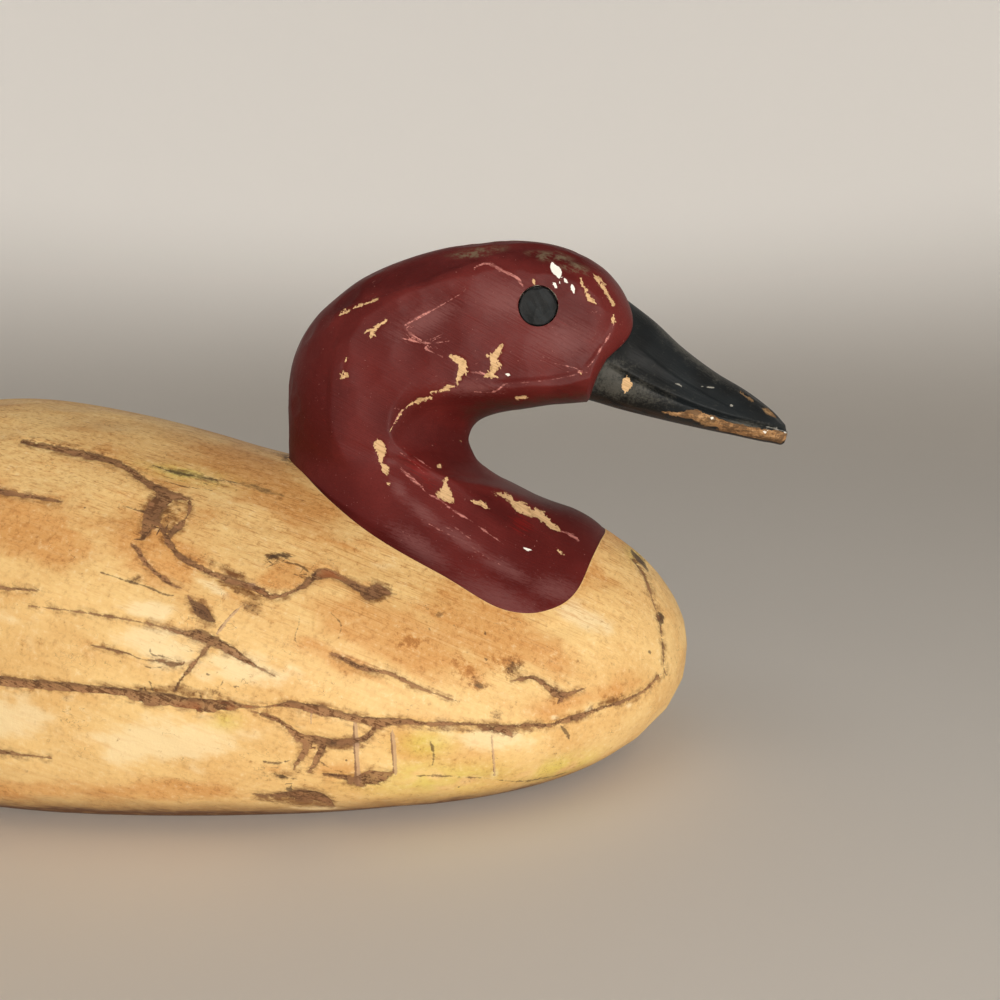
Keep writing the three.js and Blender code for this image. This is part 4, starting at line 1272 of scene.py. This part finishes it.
def hang_lamps(scene, settings):
    for name, (place, aim, size, tint) in LAMPS.items():
        data = bpy.data.lights.new(name + "_light", "AREA")
        data.shape = "DISK"
        data.size = size
        data.energy = getattr(settings, name)
        data.color = tint
        lamp = bpy.data.objects.new(name + "_light", data)
        lamp.location = place
        lamp.rotation_euler = (Vector(aim) - Vector(place)).to_track_quat("-Z", "Y").to_euler()
        scene.collection.objects.link(lamp)
    scene.world = bpy.data.worlds.new("soft_room")
    scene.world.use_nodes = True
    room = scene.world.node_tree.nodes["Background"].inputs
    room["Color"].default_value = ROOM_TINT
    room["Strength"].default_value = settings.room


def set_camera(scene):
    """Puts the camera where the photograph was taken from."""
    data = bpy.data.cameras.new("photograph_camera")
    data.sensor_width = SENSOR_MM
    data.lens = FOCAL_PX / FRAME_PX * SENSOR_MM
    data.clip_start = 0.01
    camera = bpy.data.objects.new("photograph_camera", data)
    camera.location = (VIEW_X * MM, -VIEW_BACK * MM, VIEW_HEIGHT * MM)
    camera.rotation_euler = (math.radians(90) - VIEW_PITCH, 0, 0)
    scene.collection.objects.link(camera)
    scene.camera = camera


def make_stage(scene):
    lay_floor(scene.decoy_stage)
    hang_lamps(scene, scene.decoy_stage)
    set_camera(scene)
    scene.view_settings.view_transform = "Standard"


# The add-on

def colour_property(name, description, red, green, blue):
    return bpy.props.FloatVectorProperty(name=name, description=description, subtype="COLOR", size=3,
                                         min=0, max=1, default=rgb(red, green, blue))


def depth_property(name, description, default):
    return bpy.props.FloatProperty(name=name, description=description, default=default, min=0, max=0.002,
                                   subtype="DISTANCE", unit="LENGTH")


def light_property(name, description, default, **kind):
    return bpy.props.FloatProperty(name=name, description=description, default=default, min=0, **kind)


WATTS = {"subtype": "POWER", "unit": "POWER"}


class DecoyColours(bpy.types.PropertyGroup):
    """Colours of the old paint and of the wood under it, some of them also used for painted shade and painted
    highlights.
    """
    cream: colour_property("Cream", "Main colour of the body's paint", 240, 202, 136)
    tan: colour_property("Tan", "Darker, broad patches of the body's paint", 216, 164, 96)
    orange: colour_property("Orange", "Warm wash and brush streaks on the body", 206, 136, 66)
    pale: colour_property("Pale cream", "Palest patches, streaks and specks on the body", 250, 230, 184)
    green: colour_property("Green tint", "Tint low on the body", 222, 202, 100)
    brown: colour_property("Split brown", "Dirt in grain, cracks and splits", 110, 74, 46)
    split: colour_property("Split wood", "Old wood in the splits", 158, 114, 80)
    dark: colour_property("Dark brown", "Darkest dirt and specks", 66, 48, 36)
    rust: colour_property("Rust", "Reddish wood in the ridge split", 164, 96, 56)
    stain: colour_property("Stain", "Brown stains on the body", 112, 66, 28)
    soot: colour_property("Soot", "Olive grey dirt on the body", 92, 80, 54)
    drip: colour_property("Drip", "Dried runs below the ridge split", 190, 154, 124)
    burgundy: colour_property("Burgundy", "Main colour of the head and neck", 104, 36, 33)
    deep: colour_property("Deep burgundy", "Darker paint of the head and neck", 74, 18, 16)
    bright: colour_property("Bright red", "Glazed red paint low on the neck", 128, 22, 18)
    dusty: colour_property("Dusty pink", "Powdery bloom on the burgundy", 136, 86, 84)
    pink: colour_property("Pink scuff", "Scuffs in the burgundy", 214, 142, 132)
    soil: colour_property("Soil", "Grey dirt on the crown", 122, 108, 86)
    chip: colour_property("Chip", "Primer and wood in the head's chips", 226, 188, 140)
    white: colour_property("White chip", "Whitest chips", 250, 246, 236)
    black: colour_property("Black", "Bill and eye paint", 20, 22, 23)
    slate: colour_property("Slate", "Worn black paint", 36, 41, 44)
    ash: colour_property("Ash", "Powdery wear on the black", 104, 102, 94)
    wood: colour_property("Bare wood", "Wood showing on the bill", 168, 132, 88)


class DecoyWear(bpy.types.PropertyGroup):
    """How deep the knife and the years went."""
    flat_depth: depth_property("Knife flats", "Depth of the flats left by the knife", 0.00045)
    split_depth: depth_property("Splits", "Depth of the splits in the body", 0.0006)
    chip_depth: depth_property("Chips", "Depth of lost paint on the head", 0.00025)


class DecoyStage(bpy.types.PropertyGroup):
    """The floor and the lights."""
    floor: colour_property("Floor", "Colour of the floor", 224, 219, 212)
    glow: light_property("Backdrop light", "Light that the backdrop gives back", 0.5, max=1)
    key: light_property("Key light", "Power of the key light", 4.6, **WATTS)
    overhead: light_property("Overhead light", "Power of the overhead light", 3.0, **WATTS)
    room: light_property("Room light", "Strength of the light from all round", 0.06)


class DECOY_OT_body(bpy.types.Operator):
    """Carve the body, split its paint and colour it"""
    bl_idname = "decoy.body"
    bl_label = "Body"

    def execute(self, context):
        make_body(context.scene)
        return {"FINISHED"}


class DECOY_OT_head(bpy.types.Operator):
    """Carve the head, neck and bill, chip their paint and colour them"""
    bl_idname = "decoy.head"
    bl_label = "Head and neck"

    def execute(self, context):
        make_head(context.scene)
        return {"FINISHED"}


class DECOY_OT_eyes(bpy.types.Operator):
    """Cut the two eye pegs and paint them"""
    bl_idname = "decoy.eyes"
    bl_label = "Eyes"

    def execute(self, context):
        make_eye(context.scene, -1, "eye_right")
        make_eye(context.scene, 1, "eye_left")
        return {"FINISHED"}


class DECOY_OT_stage(bpy.types.Operator):
    """Lay the floor and set the lights and the camera"""
    bl_idname = "decoy.stage"
    bl_label = "Stage"

    def execute(self, context):
        make_stage(context.scene)
        return {"FINISHED"}


class DECOY_PT_panel(bpy.types.Panel):
    """Lists the decoy's pieces and their settings"""
    bl_label = "Duck Decoy"
    bl_idname = "DECOY_PT_panel"
    bl_space_type = "VIEW_3D"
    bl_region_type = "UI"
    bl_category = "Decoy"

    def draw(self, context):
        for operator in OPERATORS:
            self.layout.operator(operator.bl_idname)
        for group in (context.scene.decoy_colours, context.scene.decoy_wear, context.scene.decoy_stage):
            box = self.layout.box()
            for name in group.__annotations__:
                box.prop(group, name)


OPERATORS = (DECOY_OT_stage, DECOY_OT_body, DECOY_OT_head, DECOY_OT_eyes)
GROUPS = {"decoy_colours": DecoyColours, "decoy_wear": DecoyWear, "decoy_stage": DecoyStage}


def register():
    for made in (*GROUPS.values(), *OPERATORS, DECOY_PT_panel):
        bpy.utils.register_class(made)
    for name, group in GROUPS.items():
        setattr(bpy.types.Scene, name, bpy.props.PointerProperty(type=group))


def unregister():
    for name in GROUPS:
        delattr(bpy.types.Scene, name)
    for made in reversed((*GROUPS.values(), *OPERATORS, DECOY_PT_panel)):
        bpy.utils.unregister_class(made)


def main():
    register()
    for operator in (bpy.ops.decoy.stage, bpy.ops.decoy.body, bpy.ops.decoy.head, bpy.ops.decoy.eyes):
        operator()


if __name__ == "__main__":
    main()
